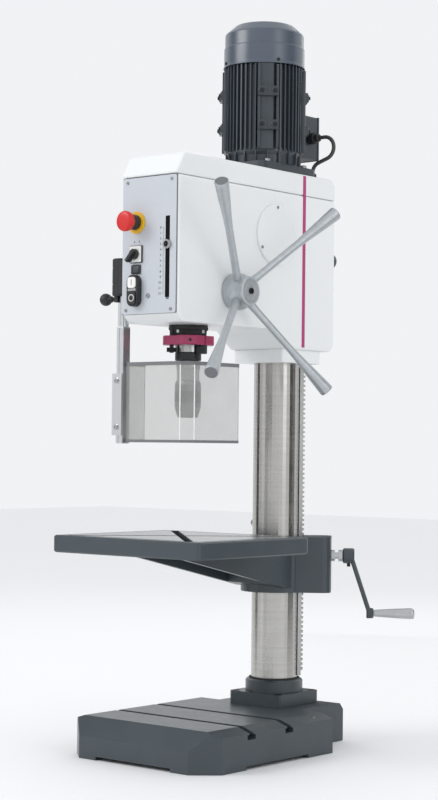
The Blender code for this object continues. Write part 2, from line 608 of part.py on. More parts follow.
def make_motor_lead():
    """The lead leaves its gland straight, turns under in one bend, and a second bend takes it down."""
    loop, dip = 0.0275, 0.0240
    start, turn_x, side_y = Vector((0.0763, 0.0657, 1.4990)), 0.0925, 0.0650
    route = [start, Vector((0.0840, 0.0657, 1.4990))]
    for angle in range(0, 161, 16):
        route.append(Vector((turn_x + loop * sin(radians(angle)), side_y,
                             start.z - loop + loop * cos(radians(angle)))))
    for angle in range(20, 91, 14):
        route.append(Vector((0.0560 + dip * (1 - sin(radians(angle))), 0.0642,
                             1.4130 + dip * cos(radians(angle)))))
    curve = bpy.data.curves.new("motor_lead", "CURVE")
    curve.dimensions = "3D"
    curve.bevel_depth = 0.0048
    curve.bevel_resolution = 2
    curve.use_fill_caps = True
    spline = curve.splines.new("POLY")
    spline.points.add(len(route) - 1)
    for place, point in zip(spline.points, route):
        place.co = (*point, 1.0)
    lead = bpy.data.objects.new("motor_lead", curve)
    curve.materials.append(RUBBER)
    parts.objects.link(lead)


# ---------------------------------------------------------------- belt drive inside the head
def make_drive():
    # the spindle slides through its pulley's long splined hub as the quill comes down
    for name, y, bore, hub in (("motor_pulley", MOTOR_Y, 0.0113, 1.2700),
                               ("spindle_pulley", QUILL_Y, 0.0134, QUILL_TOP + 0.0030)):
        pulley = turned(name, (0, y, 0), (0, 0, 1),
                        [(bore, BELT_Z + 0.0150), (0.0500, BELT_Z + 0.0150), (0.0500, BELT_Z + 0.0125),
                         (PULLEY_R, BELT_Z + 0.0120), (PULLEY_R, BELT_Z - 0.0120),
                         (0.0500, BELT_Z - 0.0125), (0.0500, BELT_Z - 0.0150),
                         (0.0205, BELT_Z - 0.0150), (0.0205, hub), (bore, hub)],
                        STEEL, 24, ring=True)
        pivot(pulley, (0, y, BELT_Z))
    inside, outside = PULLEY_R + 0.0006, PULLEY_R + 0.0040

    def loop(radius):
        return (arc((0, QUILL_Y), radius, 180, 360, 16) + arc((0, MOTOR_Y), radius, 0, 180, 16))

    belt = outlined("drive_belt", loop(outside), BELT_Z - 0.0100, BELT_Z + 0.0100, PLAN, RUBBER)
    cut(belt, outlined("belt_inside", loop(inside), BELT_Z - 0.02, BELT_Z + 0.02, PLAN, RUBBER))


# ---------------------------------------------------------------- quill, spindle and chuck
def make_quill():
    axis, up = (0, QUILL_Y, 0), (0, 0, 1)
    quill = rod("quill", axis, up, QUILL_R, QUILL_LOW, QUILL_TOP, STEEL, 32)
    cut(quill, rod("quill_inside", axis, up, 0.0245, 0.9, 1.3, STEEL, 24))
    pitch_line = FEED_Y - FEED_TEETH * FEED_PITCH / tau
    teeth = rack_edge(FEED_PITCH, 1.0600, 1.2340, FEED_Z)
    root = pitch_line - TOOTH_DEDENDUM
    outline = ([(root, 1.0550)] + [(pitch_line + height, z) for height, z in teeth]
               + [(root, 1.2400), (QUILL_Y + 0.05, 1.2400), (QUILL_Y + 0.05, 1.0550)])
    cut(quill, outlined("quill_teeth", outline, -0.0330, 0.0330, SIDE, STEEL))
    pivot(quill, (0, QUILL_Y, QUILL_LOW))

    half, corner = 0.0520, 0.0200
    octagon = [(half, -half + corner), (half, half - corner), (half - corner, half),
               (-half + corner, half), (-half, half - corner), (-half, -half + corner),
               (-half + corner, -half), (half - corner, -half)]
    collar = outlined("quill_collar", octagon, 0.9625, 0.9845, Matrix.Translation(axis), RED)
    soften(collar, 0.0015, 2, 30)
    cut(collar, rod("collar_bore", axis, up, QUILL_R + GAP, 0.9, 1.1, RED, 32))
    cut(collar, rod("collar_rod_hole", (ROD_X, ROD_Y, 0), up, 0.0053, 0.9, 1.1, RED, 12))
    cut(collar, box("collar_split", (0.0200, QUILL_Y - 0.0015, 0.9), (0.06, QUILL_Y + 0.0015, 1.1), RED))

    bumper = turned("quill_bumper", axis, up,
           [(0.0455, 1.0088), (0.0465, 1.0050), (0.0465, 0.9990), (0.0435, 0.9970),
            (0.0425, 0.9848), (QUILL_R + GAP, 0.9848), (QUILL_R + GAP, 1.0088)], RUBBER, 32, ring=True)
    cut(bumper, rod("bumper_rod_hole", (ROD_X, ROD_Y, 0), up, 0.0056, 0.9, 1.1, RUBBER, 12))
    turned("quill_end_ring", axis, up,
           [(0.0296, 0.9462), (0.0308, 0.9450), (0.0308, 0.9280), (0.0290, 0.9265),
            (0.0160, 0.9265), (0.0160, 0.9462)], BLACK, 32, ring=True)
    turned("spindle_bearing", axis, up,
           [(0.0242, 0.9640), (0.0242, 0.9490), (0.0134, 0.9490), (0.0134, 0.9640)], STEEL, 24, ring=True)
    rod("depth_stop_rod", (ROD_X, ROD_Y, 0), up, 0.0050, 0.9440, 1.1500, BLACK, 12)
    turned("depth_stop_nut", (ROD_X, ROD_Y, 0), up,
           [(0.0105, 0.9560), (0.0115, 0.9545), (0.0115, 0.9475), (0.0105, 0.9460),
            (0.0053, 0.9460), (0.0053, 0.9560)], BLACK, 20, ring=True)

    pointer_x, pointer_z = 0.0575, 1.1854
    pointer = turned("depth_pointer", (pointer_x, 0, pointer_z), (0, -1, 0),
                     [(0, 0.4850), (0.0085, 0.4850), (0.0105, 0.4835), (0.0105, 0.4792),
                      (0.0036, 0.4790), (0.0036, 0.4480), (0, 0.4480)], CHROME, 20)
    arm = box("pointer_arm", (pointer_x - 0.0040, -0.4600, pointer_z - 0.005),
              (pointer_x + 0.0040, -0.3330, pointer_z + 0.005), STEEL)
    tail = box("pointer_tail", (QUILL_R + GAP, -0.3440, pointer_z - 0.0049),
               (pointer_x + 0.0030, -0.3320, pointer_z + 0.0049), STEEL)
    join(pointer, arm)
    join(pointer, tail)


def make_spindle():
    axis, up = (0, QUILL_Y, 0), (0, 0, 1)
    spindle = turned("spindle", axis, up,
                     [(0, 1.3870), (SPINDLE_R - 0.001, 1.3870), (SPINDLE_R, 1.3860), (SPINDLE_R, 0.9262),
                      (SPINDLE_R - 0.002, 0.9080), (0, 0.9080)], STEEL, 24)
    pivot(spindle, (0, QUILL_Y, 1.0))

    chuck = turned("chuck_body", axis, up,
                   [(0, 0.9075), (SPINDLE_R - 0.0016, 0.9075), (SPINDLE_R + 0.0004, 0.9245),
                    (0.0268, 0.9245), (0.0284, 0.9230), (0.0284, 0.9080), (0.0276, 0.9066),
                    (0.0266, 0.9060), (0.0266, 0.8800), (0.0170, 0.8798), (0.0170, 0.8115),
                    (0, 0.8115)], STEEL, 24)
    pivot(chuck, (0, QUILL_Y, 0.9))

    sleeve = turned("chuck_sleeve", axis, up,
                    [(0.0276, 0.8794), (0.0284, 0.8780), (CHUCK_R, 0.8700), (CHUCK_R, 0.8170),
                     (0.0240, 0.7948), (0.0226, 0.7933), (0.0165, 0.7933), (0.0197, 0.8090), (0.0197, 0.8125),
                     (0.0176, 0.8135), (0.0176, 0.8794)], MOTOR_GREY, 24, ring=True)
    pivot(sleeve, (0, QUILL_Y, 0.84))

    lean = radians(14)
    for number in range(3):
        turn = radians(90 + 120 * number)
        inward = Vector((-cos(turn) * sin(lean), -sin(turn) * sin(lean), -cos(lean)))
        foot = Vector((0.0092 * cos(turn), QUILL_Y + 0.0092 * sin(turn), 0.7905))
        jaw = rod(f"chuck_jaw_{number + 1}", foot, inward, 0.0036, -0.0200, -0.0025, STEEL, 8, 0.0026)
        pivot(jaw, foot)


# ---------------------------------------------------------------- feed levers
def make_feed():
    centre, right = (0, FEED_Y, FEED_Z), (1, 0, 0)
    outline = [(FEED_Y + y, FEED_Z + z) for y, z in gear_outline(FEED_TEETH, FEED_PITCH, pi)]
    shaft = outlined("feed_pinion", outline, -0.0250, 0.0250, SIDE, STEEL)
    join(shaft, rod("feed_shaft", centre, right, 0.0100, -0.1000, 0.1280, STEEL, 16))
    pivot(shaft, centre)

    turned("feed_spring_cover", (-HEAD_HALF - GAP, FEED_Y, FEED_Z), (-1, 0, 0),
           [(0, 0.0260), (0.0330, 0.0260), (0.0360, 0.0235), (0.0380, 0.0000), (0.0130, 0.0000),
            (0.0130, 0.0190), (0, 0.0190)], SLATE, 32)

    hub = turned("feed_hub", centre, right,
                 [(0, 0.1405), (0.0310, 0.1405), (0.0340, 0.1385), (0.0360, 0.1200), (0.0420, 0.1130),
                  (0.0428, 0.1100), (0.0428, HEAD_HALF + 0.0010), (0.0103, HEAD_HALF + 0.0010),
                  (0.0103, 0.1284), (0, 0.1284)], WHITE, 32)
    pivot(hub, (0.11, FEED_Y, FEED_Z))

    for number in range(4):
        turn = FEED_ARM_ANGLE + pi / 2 * number
        out = Vector((FEED_ARM_TILT, cos(turn), sin(turn))).normalized()
        reach = FEED_ARM_REACH * (1 + FEED_ARM_TILT ** 2) ** 0.5
        turned(f"feed_arm_{number + 1}", (0.1045, FEED_Y, FEED_Z), out,
               [(0, reach), (0.0155, reach), (0.0166, reach - 0.003), (0.0160, reach - 0.030),
                (0.0125, reach - 0.130), (0.0098, reach - 0.220), (0.0092, 0.0525),
                (0.0075, 0.0500), (0, 0.0500)], CHROME, 16)
        socket = rod(f"arm_socket_{number}", (0.1045, FEED_Y, FEED_Z), out, 0.0096, 0.0497, 0.08, WHITE, 16)
        cut(hub, socket)


# ---------------------------------------------------------------- controls
def make_controls():
    """Switches on the panel, each along -Y from the panel's face."""
    face, out = -PANEL_FRONT + GAP, (0, -1, 0)
    stop_z, mode_z, push_z = 1.2400, 1.1670, 1.0825
    turned("e_stop_collar", (CONTROL_X, 0, stop_z), out,
           [(0.0120, face + 0.0235), (0.0158, face + 0.0235), (0.0165, face + 0.0050),
            (0.0240, face + 0.0048), (0.0254, face + 0.0035), (0.0254, face), (0.0120, face)],
           YELLOW, 32, ring=True)
    button = turned("e_stop_button", (CONTROL_X, 0, stop_z), out,
                    [(0, face + 0.0480), (0.0170, face + 0.0474), (0.0222, face + 0.0448),
                     (0.0237, face + 0.0400), (0.0228, face + 0.0315), (0.0185, face + 0.0285),
                     (0.0115, face + 0.0285), (0.0115, face + 0.0055), (0, face + 0.0055)], STOP_RED, 32)
    pivot(button, (CONTROL_X, PANEL_FRONT, stop_z))

    box("mode_switch_plate", (CONTROL_X - 0.0175, -face - 0.0060, mode_z - 0.0185),
        (CONTROL_X + 0.0175, -face, mode_z + 0.0185), BUTTON_WHITE, 0.0015)
    knob = turned("mode_switch", (CONTROL_X, 0, mode_z), out,
                  [(0, face + 0.0150), (0.0110, face + 0.0150), (0.0125, face + 0.0063),
                   (0, face + 0.0063)], BLACK, 20)
    handle = box("switch_handle", (-0.0225, -0.0042, 0.0), (0.0120, 0.0042, 0.0150), BLACK, 0.0015)
    turn = radians(48)
    handle.matrix_world = (Matrix.Translation((CONTROL_X, -face - 0.0080, mode_z))
                           @ Matrix(((cos(turn), -sin(turn), 0), (0, 0, -1), (sin(turn), cos(turn), 0)))
                           .to_4x4())
    join(knob, handle)
    pivot(knob, (CONTROL_X, PANEL_FRONT, mode_z))

    wall = Matrix(((1, 0, 0, 0), (0, 0, -1, 0), (0, 1, 0, 0), (0, 0, 0, 1)))
    body = rounded_rectangle((CONTROL_X - 0.0165, push_z - 0.0365), (CONTROL_X + 0.0165, push_z + 0.0365),
                             0.0160, 5)
    housing = outlined("button_housing", body, face, face + 0.0150, wall, BLACK)
    for name, low, high, paint in (("start_button", 0.0060, 0.0310, BUTTON_WHITE),
                                   ("stop_button", -0.0320, -0.0020, BLACK)):
        shape = rounded_rectangle((CONTROL_X - 0.0120, push_z + low), (CONTROL_X + 0.0120, push_z + high),
                                  0.0060, 3)
        well = rounded_rectangle((CONTROL_X - 0.0124, push_z + low - 0.0004),
                                 (CONTROL_X + 0.0124, push_z + high + 0.0004), 0.0060, 3)
        cut(housing, outlined(name + "_well", well, face + 0.0040, face + 0.03, wall, BLACK))
        cap = outlined(name, shape, face + 0.0085, face + 0.0175, wall, paint)
        pivot(cap, (CONTROL_X, PANEL_FRONT, push_z + (low + high) / 2))

    knob_x, knob_z = 0.0480, 1.1980
    isolator = turned("isolator_knob", (knob_x, HEAD_BACK + GAP, knob_z), (0, 1, 0),
                      [(0, 0.0350), (0.0150, 0.0345), (0.0195, 0.0310), (0.0205, 0.0200),
                       (0.0205, 0.0060), (0.0240, 0.0050), (0.0240, 0.0000), (0, 0.0000)], MOTOR_GREY, 24)
    pivot(isolator, (knob_x, HEAD_BACK, knob_z))


# ---------------------------------------------------------------- chuck guard
def make_guard():
    up = (0, 0, 1)
    housing = turned("guard_switch", (POST_X - 0.0080, POST_Y, 0), up,
                     [(0, 1.1625), (0.0196, 1.1625), (0.0218, 1.1600), (0.0218, 1.1430), (0.0208, 1.1415),
                      (0.0218, 1.1400), (0.0218, 1.1040), (0.0208, 1.1025), (0.0218, 1.1010),
                      (0.0218, 1.0780), (0.0200, 1.0755), (0, 1.0755)], BLACK, 24)
    join(housing, box("guard_switch_foot", (POST_X - 0.0130, POST_Y - 0.0200, 1.0800),
                      (-HEAD_HALF - GAP, POST_Y + 0.0300, 1.1580), BLACK))
    lever_z = 1.0690
    join(housing, box("guard_lock_lug", (POST_X - 0.0240, POST_Y - 0.0080, lever_z - 0.0080),
                      (POST_X - 0.0130, POST_Y + 0.0080, 1.0800), BLACK))
    cut(housing, rod("guard_pin_hole", (POST_X, POST_Y, 0), up, 0.0086, 1.0, 1.1000, BLACK, 16))
    cut(housing, rod("guard_lock_hole", (POST_X, POST_Y, lever_z), (-1, 0, 0), 0.0053, 0.0, 0.03,
                     BLACK, 12))

    post = box("guard_post", (POST_X - 0.0100, POST_Y - 0.0125, 0.7310),
               (POST_X + 0.0100, POST_Y + 0.0125, 1.0030), STEEL, 0.0012)
    join(post, rod("guard_pin", (POST_X, POST_Y, 0), up, 0.0098, 1.0000, 1.0740, STEEL, 16))
    join(post, box("guard_post_neck", (POST_X - 0.0098, POST_Y - 0.0095, 1.0000),
                   (POST_X + 0.0070, POST_Y + 0.0095, 1.0590), STEEL))
    join(post, rod("guard_pin_tip", (POST_X, POST_Y, 0), up, 0.0082, 1.0600, 1.0980, STEEL, 16))
    for side in (-1, 1):
        cut(post, box(f"post_groove_{side}", (POST_X - 0.0030, POST_Y + side * 0.0095 - 0.0045, 0.70),
                      (POST_X + 0.0030, POST_Y + side * 0.0140 + 0.0030, 1.0), STEEL))
    join(post, box("guard_clamp_plate", (POST_X - 0.0190, POST_Y - 0.0168, 0.7500),
                   (POST_X + 0.0105, POST_Y - 0.0115, 0.8940), STEEL))
    pivot(post, (POST_X, POST_Y, 0.9))

    # one bent clear sheet: short left wing, front, corner facet, long right wing
    sheet = 0.0040
    front, left, right = -0.4580, -0.0855, 0.1045
    outer = [(left, -0.3970), (left, front), (right - 0.0235, front), (right, front + 0.0235),
             (right, -0.2760)]
    inner = [(right - sheet, -0.2760), (right - sheet, front + 0.0252), (right - 0.0252, front + sheet),
             (left + sheet, front + sheet), (left + sheet, -0.3970)]
    shield = outlined("guard_shield", outer + inner, 0.7345, 0.9195, PLAN, CLEAR)
    pivot(shield, (POST_X, POST_Y, 0.9))

    knob = turned("guard_lock_knob", (POST_X - 0.0105, POST_Y, lever_z), (-1, 0, 0),
                  [(0, 0.0620), (0.0080, 0.0605), (0.0130, 0.0550), (0.0148, 0.0470), (0.0130, 0.0390),
                   (0.0075, 0.0335), (0.0050, 0.0325), (0.0050, 0.0003), (0, 0.0003)], BLACK, 20)
    pivot(knob, (POST_X - 0.02, POST_Y, lever_z))


make_base()
make_column()
make_rack()
make_table()
make_lift_gear()
make_crank()
make_table_clamp()
make_head()
make_motor()
make_motor_lead()
make_drive()
make_quill()
make_spindle()
make_feed()
make_controls()
make_guard()
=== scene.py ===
from math import cos, pi, radians, sin

import bmesh
import bpy
from mathutils import Matrix, Vector


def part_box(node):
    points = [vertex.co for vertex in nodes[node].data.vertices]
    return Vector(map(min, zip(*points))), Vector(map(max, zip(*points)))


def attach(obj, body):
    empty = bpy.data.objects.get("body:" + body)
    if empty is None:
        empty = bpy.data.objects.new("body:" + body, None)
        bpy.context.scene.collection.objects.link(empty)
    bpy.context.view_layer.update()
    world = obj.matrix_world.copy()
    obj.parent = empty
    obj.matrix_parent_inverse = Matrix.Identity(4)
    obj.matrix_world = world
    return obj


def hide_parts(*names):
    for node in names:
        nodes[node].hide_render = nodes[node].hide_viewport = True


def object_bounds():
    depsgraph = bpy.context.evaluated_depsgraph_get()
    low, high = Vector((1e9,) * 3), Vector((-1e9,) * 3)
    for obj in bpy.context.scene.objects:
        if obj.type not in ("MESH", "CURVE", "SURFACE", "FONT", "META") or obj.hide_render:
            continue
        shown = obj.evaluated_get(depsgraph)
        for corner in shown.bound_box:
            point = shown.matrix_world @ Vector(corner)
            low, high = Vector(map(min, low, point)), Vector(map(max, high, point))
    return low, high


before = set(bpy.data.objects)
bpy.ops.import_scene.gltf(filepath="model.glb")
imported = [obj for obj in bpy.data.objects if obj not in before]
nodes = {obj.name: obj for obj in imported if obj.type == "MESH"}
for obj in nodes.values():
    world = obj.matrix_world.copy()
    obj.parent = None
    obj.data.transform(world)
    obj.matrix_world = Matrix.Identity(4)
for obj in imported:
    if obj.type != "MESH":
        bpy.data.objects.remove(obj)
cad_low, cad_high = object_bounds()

scene = bpy.context.scene

# ------------------------------------------------------------------ camera, light and floor
# A long lens looks slightly upwards at the machine from its front right corner.  The light is
# three large soft panels and a pale room, so that bright paint and bare steel both read.
camera_data = bpy.data.cameras.new("camera")
camera_data.sensor_fit = "VERTICAL"
camera_data.sensor_height = 36.0
camera_data.lens = 83.2
camera_data.shift_x = -0.0183
camera_data.shift_y = 0.0181
camera_data.clip_end = 60.0
camera = bpy.data.objects.new("camera", camera_data)
scene.collection.objects.link(camera)
camera.matrix_world = (Matrix.Translation((2.849, -3.612, 0.731))
                       @ Matrix.Rotation(radians(39.60), 4, "Z")
                       @ Matrix.Rotation(radians(90.936), 4, "X")
                       @ Matrix.Rotation(radians(0.615), 4, "Z"))
scene.camera = camera
scene.view_settings.view_transform = "Standard"

room = bpy.data.worlds.new("room")
scene.world = room
room.use_nodes = True
pale_wall = room.node_tree.nodes["Background"]
pale_wall.inputs["Color"].default_value = (0.97, 0.98, 1.0, 1.0)
pale_wall.inputs["Strength"].default_value = 0.91

machine_middle = Vector((0, -0.1, 0.9))
for light_name, place, width, height, power in (
        ("key_panel", (-2.2, -3.6, 3.4), 2.4, 1.6, 66.0),
        ("side_panel", (3.6, -0.6, 2.2), 1.2, 3.0, 16.0),
        ("back_panel", (-1.6, 3.2, 2.8), 2.4, 2.0, 14.0)):
    panel_light = bpy.data.lights.new(light_name, "AREA")
    panel_light.shape = "RECTANGLE"
    panel_light.size = width
    panel_light.size_y = height
    panel_light.energy = power
    lamp = bpy.data.objects.new(light_name, panel_light)
    scene.collection.objects.link(lamp)
    lamp.location = place
    lamp.rotation_euler = (machine_middle - Vector(place)).to_track_quat("-Z", "Y").to_euler()


def matt(name, colour, roughness):
    paper = bpy.data.materials.new(name)
    paper.use_nodes = True
    shader = paper.node_tree.nodes["Principled BSDF"]
    shader.inputs["Base Color"].default_value = (*colour, 1.0)
    shader.inputs["Roughness"].default_value = roughness
    return paper


bpy.ops.object.select_all(action="DESELECT")
bpy.ops.mesh.primitive_plane_add(size=24.0, location=(0, 0, cad_low[2] - 0.0005))
floor = bpy.context.object
floor.name = "studio_floor"
floor.data.materials.append(matt("floor_paper", (0.90, 0.905, 0.91), 0.75))

# black cloths stand round the machine, unseen, for bare metal and gloss to mirror
black_cloth = matt("black_cloth", (0.012, 0.012, 0.013), 1.0)
cloth_height, cloth_middle = 3.6, 1.3
for number, (bearing, distance, width) in enumerate(
        ((30, 2.6, 1.5), (-154, 2.4, 1.1), (-96, 3.4, 0.5), (118, 2.6, 0.8))):
    bpy.ops.object.select_all(action="DESELECT")
    bpy.ops.mesh.primitive_plane_add(
        size=1.0, rotation=(radians(90), 0, radians(bearing - 90)),
        location=(distance * cos(radians(bearing)), distance * sin(radians(bearing)), cloth_middle))
    cloth = bpy.context.object
    cloth.name = f"studio_cloth_{number + 1}"
    cloth.scale = (width, cloth_height, 1.0)
    cloth.data.materials.append(black_cloth)
    cloth.visible_camera = False
    cloth.visible_diffuse = False
    cloth.visible_transmission = False
    cloth.visible_shadow = False


# ------------------------------------------------------------------ enamel on the castings
# Base, table, head and motor are cast iron or aluminium with thick sprayed enamel.  Sand-cast
# skin shows through as fine lumps, and the colour drifts a little where the coat is thinner.
def speckled(tree, place, scale, detail, roughness=0.5):
    """A noise pattern laid over the piece."""
    pattern = tree.nodes.new("ShaderNodeTexNoise")
    pattern.inputs["Scale"].default_value = scale
    pattern.inputs["Detail"].default_value = detail
    pattern.inputs["Roughness"].default_value = roughness
    tree.links.new(place, pattern.inputs["Vector"])
    return pattern.outputs["Fac"]


def toned(tree, pattern, darker, lighter, low=0.0, high=1.0):
    """The base colour, which drifts with a pattern from a darker to a lighter tone."""
    tone = tree.nodes.new("ShaderNodeValToRGB")
    for stop, position, colour in zip(tone.color_ramp.elements, (low, high), (darker, lighter)):
        stop.position = position
        stop.color = (*colour, 1)
    tree.links.new(pattern, tone.inputs["Fac"])
    tree.links.new(tone.outputs["Color"], tree.nodes["Principled BSDF"].inputs["Base Color"])


def ranged(tree, pattern, low, high, socket="Roughness"):
    """A socket of the shader that follows a pattern from one value to another."""
    spread = tree.nodes.new("ShaderNodeMapRange")
    spread.inputs["To Min"].default_value = low
    spread.inputs["To Max"].default_value = high
    tree.links.new(pattern, spread.inputs["Value"])
    tree.links.new(spread.outputs["Result"], tree.nodes["Principled BSDF"].inputs[socket])
    return spread


def embossed(tree, pattern, strength, distance, socket):
    """Relief raised by a pattern, on the shader or under another relief."""
    relief = tree.nodes.new("ShaderNodeBump")
    relief.inputs["Strength"].default_value = strength
    relief.inputs["Distance"].default_value = distance
    tree.links.new(pattern, relief.inputs["Height"])
    tree.links.new(relief.outputs["Normal"], socket)
    return relief


def sprayed(name, colour, roughness=0.38, cast=0.0, drift=0.06, coat=0.25):
    paint = bpy.data.materials.new(name)
    paint.use_nodes = True
    tree = paint.node_tree
    shader = tree.nodes["Principled BSDF"]
    shader.inputs["Coat Weight"].default_value = coat
    shader.inputs["Coat Roughness"].default_value = 0.25
    place = tree.nodes.new("ShaderNodeTexCoord").outputs["Object"]
    toned(tree, speckled(tree, place, 7.0, 5.0, 0.6), [part * (1 - drift) for part in colour],
          [min(part * (1 + drift), 1) for part in colour], 0.30, 0.70)
    # gloss varies with the film's thickness
    ranged(tree, speckled(tree, place, 38.0, 3.0), roughness - 0.06, roughness + 0.08)
    # orange peel, over the cast skin's lumps
    peel = embossed(tree, speckled(tree, place, 420.0, 1.0), 0.10, 0.0004, shader.inputs["Normal"])
    if cast:
        embossed(tree, speckled(tree, place, 150.0, 4.0, 0.65), cast, 0.0010, peel.inputs["Normal"])
    return paint


# ------------------------------------------------------------------ bare metal
# Turned and ground steel has fine tool rings across its axis; castings and bright arms have a
# satin, tumbled finish.  A little dulling breaks the shine where hands and oil have been.
def metal(name, colour, roughness=0.26, rings=(2.0, 2.0, 900.0), depth=0.10, dulled=0.10,
          metallic=1.0):
    bare = bpy.data.materials.new(name)
    bare.use_nodes = True
    tree = bare.node_tree
    shader = tree.nodes["Principled BSDF"]
    shader.inputs["Metallic"].default_value = metallic
    place = tree.nodes.new("ShaderNodeTexCoord").outputs["Object"]
    stretch = tree.nodes.new("ShaderNodeMapping")
    stretch.inputs["Scale"].default_value = rings
    tree.links.new(place, stretch.inputs["Vector"])
    grind = speckled(tree, stretch.outputs["Vector"], 1.0, 5.0)
    toned(tree, grind, [part * 0.90 for part in colour],
          [min(part * 1.06, 1) for part in colour], 0.25, 0.75)
    shine = ranged(tree, speckled(tree, place, 22.0, 4.0), roughness, roughness + dulled)
    shine.inputs["From Min"].default_value = 0.3
    shine.inputs["From Max"].default_value = 0.7
    embossed(tree, grind, depth, 0.0003, shader.inputs["Normal"])
    return bare


# ------------------------------------------------------------------ moulded plastic and rubber
# Knobs, switches and the guard's housing are moulded with a fine spark-eroded grain.  Handling
# leaves them a little paler and duller in places.
def moulded(name, colour, roughness=0.45, grain=700.0, depth=0.16):
    plastic = bpy.data.materials.new(name)
    plastic.use_nodes = True
    tree = plastic.node_tree
    place = tree.nodes.new("ShaderNodeTexCoord").outputs["Object"]
    embossed(tree, speckled(tree, place, grain, 2.0), depth, 0.0003,
             tree.nodes["Principled BSDF"].inputs["Normal"])
    rub = speckled(tree, place, 45.0, 3.0)
    toned(tree, rub, [part * 0.88 for part in colour], [min(part * 1.10, 1) for part in colour])
    ranged(tree, rub, roughness - 0.05, roughness + 0.10)
    return plastic


slate_enamel = sprayed("slate_enamel", (0.038, 0.052, 0.062), 0.40, cast=0.20, drift=0.10)
white_enamel = sprayed("white_enamel", (0.80, 0.82, 0.82), 0.30, drift=0.012, coat=0.35)
panel_film = sprayed("panel_film", (0.52, 0.55, 0.59), 0.36, drift=0.015, coat=0.15)
motor_enamel = sprayed("motor_enamel", (0.034, 0.045, 0.057), 0.38, cast=0.14, drift=0.08)
collar_enamel = sprayed("collar_enamel", (0.36, 0.025, 0.10), 0.34, drift=0.06)
ground_steel = metal("ground_steel", (0.50, 0.49, 0.47), 0.23, (3.0, 3.0, 160.0), 0.02, 0.07)
gear_steel = metal("gear_steel", (0.36, 0.36, 0.36), 0.34, (60.0, 60.0, 60.0), 0.2)
rack_steel = metal("rack_steel", (0.50, 0.50, 0.49), 0.30, (60.0, 60.0, 60.0), 0.08)
satin_alloy = metal("satin_alloy", (0.48, 0.51, 0.53), 0.40, (90.0, 90.0, 90.0), 0.05, 0.10, 0.72)
bright_steel = metal("bright_steel", (0.50, 0.51, 0.52), 0.22, (50.0, 50.0, 50.0), 0.03, 0.06)
spindle_steel = metal("spindle_steel", (0.50, 0.50, 0.50), 0.26, (2.0, 2.0, 1200.0), 0.12)
post_alloy = metal("post_alloy", (0.66, 0.68, 0.69), 0.30, (700.0, 700.0, 4.0), 0.10)
black_moulding = moulded("black_moulding", (0.018, 0.018, 0.020))
soft_rubber = moulded("soft_rubber", (0.022, 0.022, 0.023), 0.68, 300.0, 0.25)
stop_red = moulded("stop_red", (0.62, 0.014, 0.012), 0.30, 900.0, 0.04)
warning_yellow = moulded("warning_yellow", (0.80, 0.45, 0.012), 0.36, 900.0, 0.04)
white_moulding = moulded("white_moulding", (0.80, 0.80, 0.78), 0.34, 900.0, 0.05)

finishes = {
    slate_enamel: ("base", "column_flange", "table", "feed_spring_cover", "crank_arm"),
    white_enamel: ("head_casting", "head_cover", "head_clamp_flange", "side_cover"),
    panel_film: ("control_panel",),
    motor_enamel: ("motor_flange", "motor_housing", "fan_cover", "terminal_box", "isolator_knob"),
    collar_enamel: ("quill_collar",),
    ground_steel: ("column",),
    rack_steel: ("column_rack",),
    gear_steel: ("lift_gear", "motor_pulley", "spindle_pulley", "motor_rotor", "feed_pinion",
                 "spindle_bearing", "chuck_jaw_1", "chuck_jaw_2", "chuck_jaw_3"),
    satin_alloy: ("feed_hub", "feed_arm_1", "feed_arm_2", "feed_arm_3", "feed_arm_4"),
    bright_steel: ("crank_grip", "crank_shaft", "table_clamp"),
    spindle_steel: ("quill", "spindle", "depth_pointer", "chuck_body", "chuck_sleeve"),
    post_alloy: ("guard_post",),
    black_moulding: ("lead_gland", "quill_end_ring", "depth_stop_rod", "depth_stop_nut",
                     "button_housing", "mode_switch", "stop_button", "guard_switch",
                     "guard_lock_knob", "motor_fan"),
    soft_rubber: ("quill_bumper", "lead_grommet", "motor_lead", "drive_belt"),
    stop_red: ("e_stop_button",),
    warning_yellow: ("e_stop_collar",),
    white_moulding: ("start_button", "mode_switch_plate"),
}
for finish, members in finishes.items():
    for member in members:
        nodes[member].data.materials.clear()
        nodes[member].data.materials.append(finish)


# ------------------------------------------------------------------ column foot
# Four socket screws, sunk flush, pull the column's flange down on the base, and a rubber ring
# keeps chips out of the gap round the column.  A plug fills a hole at the base's back corner.
def put(piece, finish, body, smooth=35):
    """Closes the piece's place into its mesh, shades it, and fixes it to its body."""
    bpy.ops.object.select_all(action="DESELECT")
    piece.select_set(True)
    bpy.context.view_layer.objects.active = piece
    bpy.ops.object.transform_apply(location=True, rotation=True, scale=True)
    bpy.ops.object.shade_smooth_by_angle(angle=radians(smooth))
    piece.data.materials.clear()
    piece.data.materials.append(finish)
    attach(piece, body)
    return piece


def faces_out():
    """Turns all the faces of the piece outwards, and leaves edit mode."""
    bpy.ops.mesh.select_all(action="SELECT")
    bpy.ops.mesh.normals_make_consistent(inside=False)
    bpy.ops.object.mode_set(mode="OBJECT")


def stacked(name, rings, centre, axis, steps=48):
    """A round piece: a disc, extruded and sized from ring to ring of (radius, height)."""
    bpy.ops.object.select_all(action="DESELECT")
    bpy.ops.mesh.primitive_circle_add(vertices=steps, radius=rings[0][0], fill_type="NGON")
    piece = bpy.context.object
    piece.name = piece.data.name = name
    bpy.ops.object.mode_set(mode="EDIT")
    bpy.ops.transform.translate(value=(0, 0, rings[0][1]))
    for (radius, height), (next_radius, next_height) in zip(rings, rings[1:]):
        bpy.ops.mesh.extrude_region_move(TRANSFORM_OT_translate={"value": (0, 0, next_height - height)})
        bpy.ops.transform.resize(value=(next_radius / radius, next_radius / radius, 1))
    faces_out()
    turn = Vector((0, 0, 1)).rotation_difference(Vector(axis).normalized())
    piece.matrix_world = Matrix.Translation(centre) @ turn.to_matrix().to_4x4()
    return piece


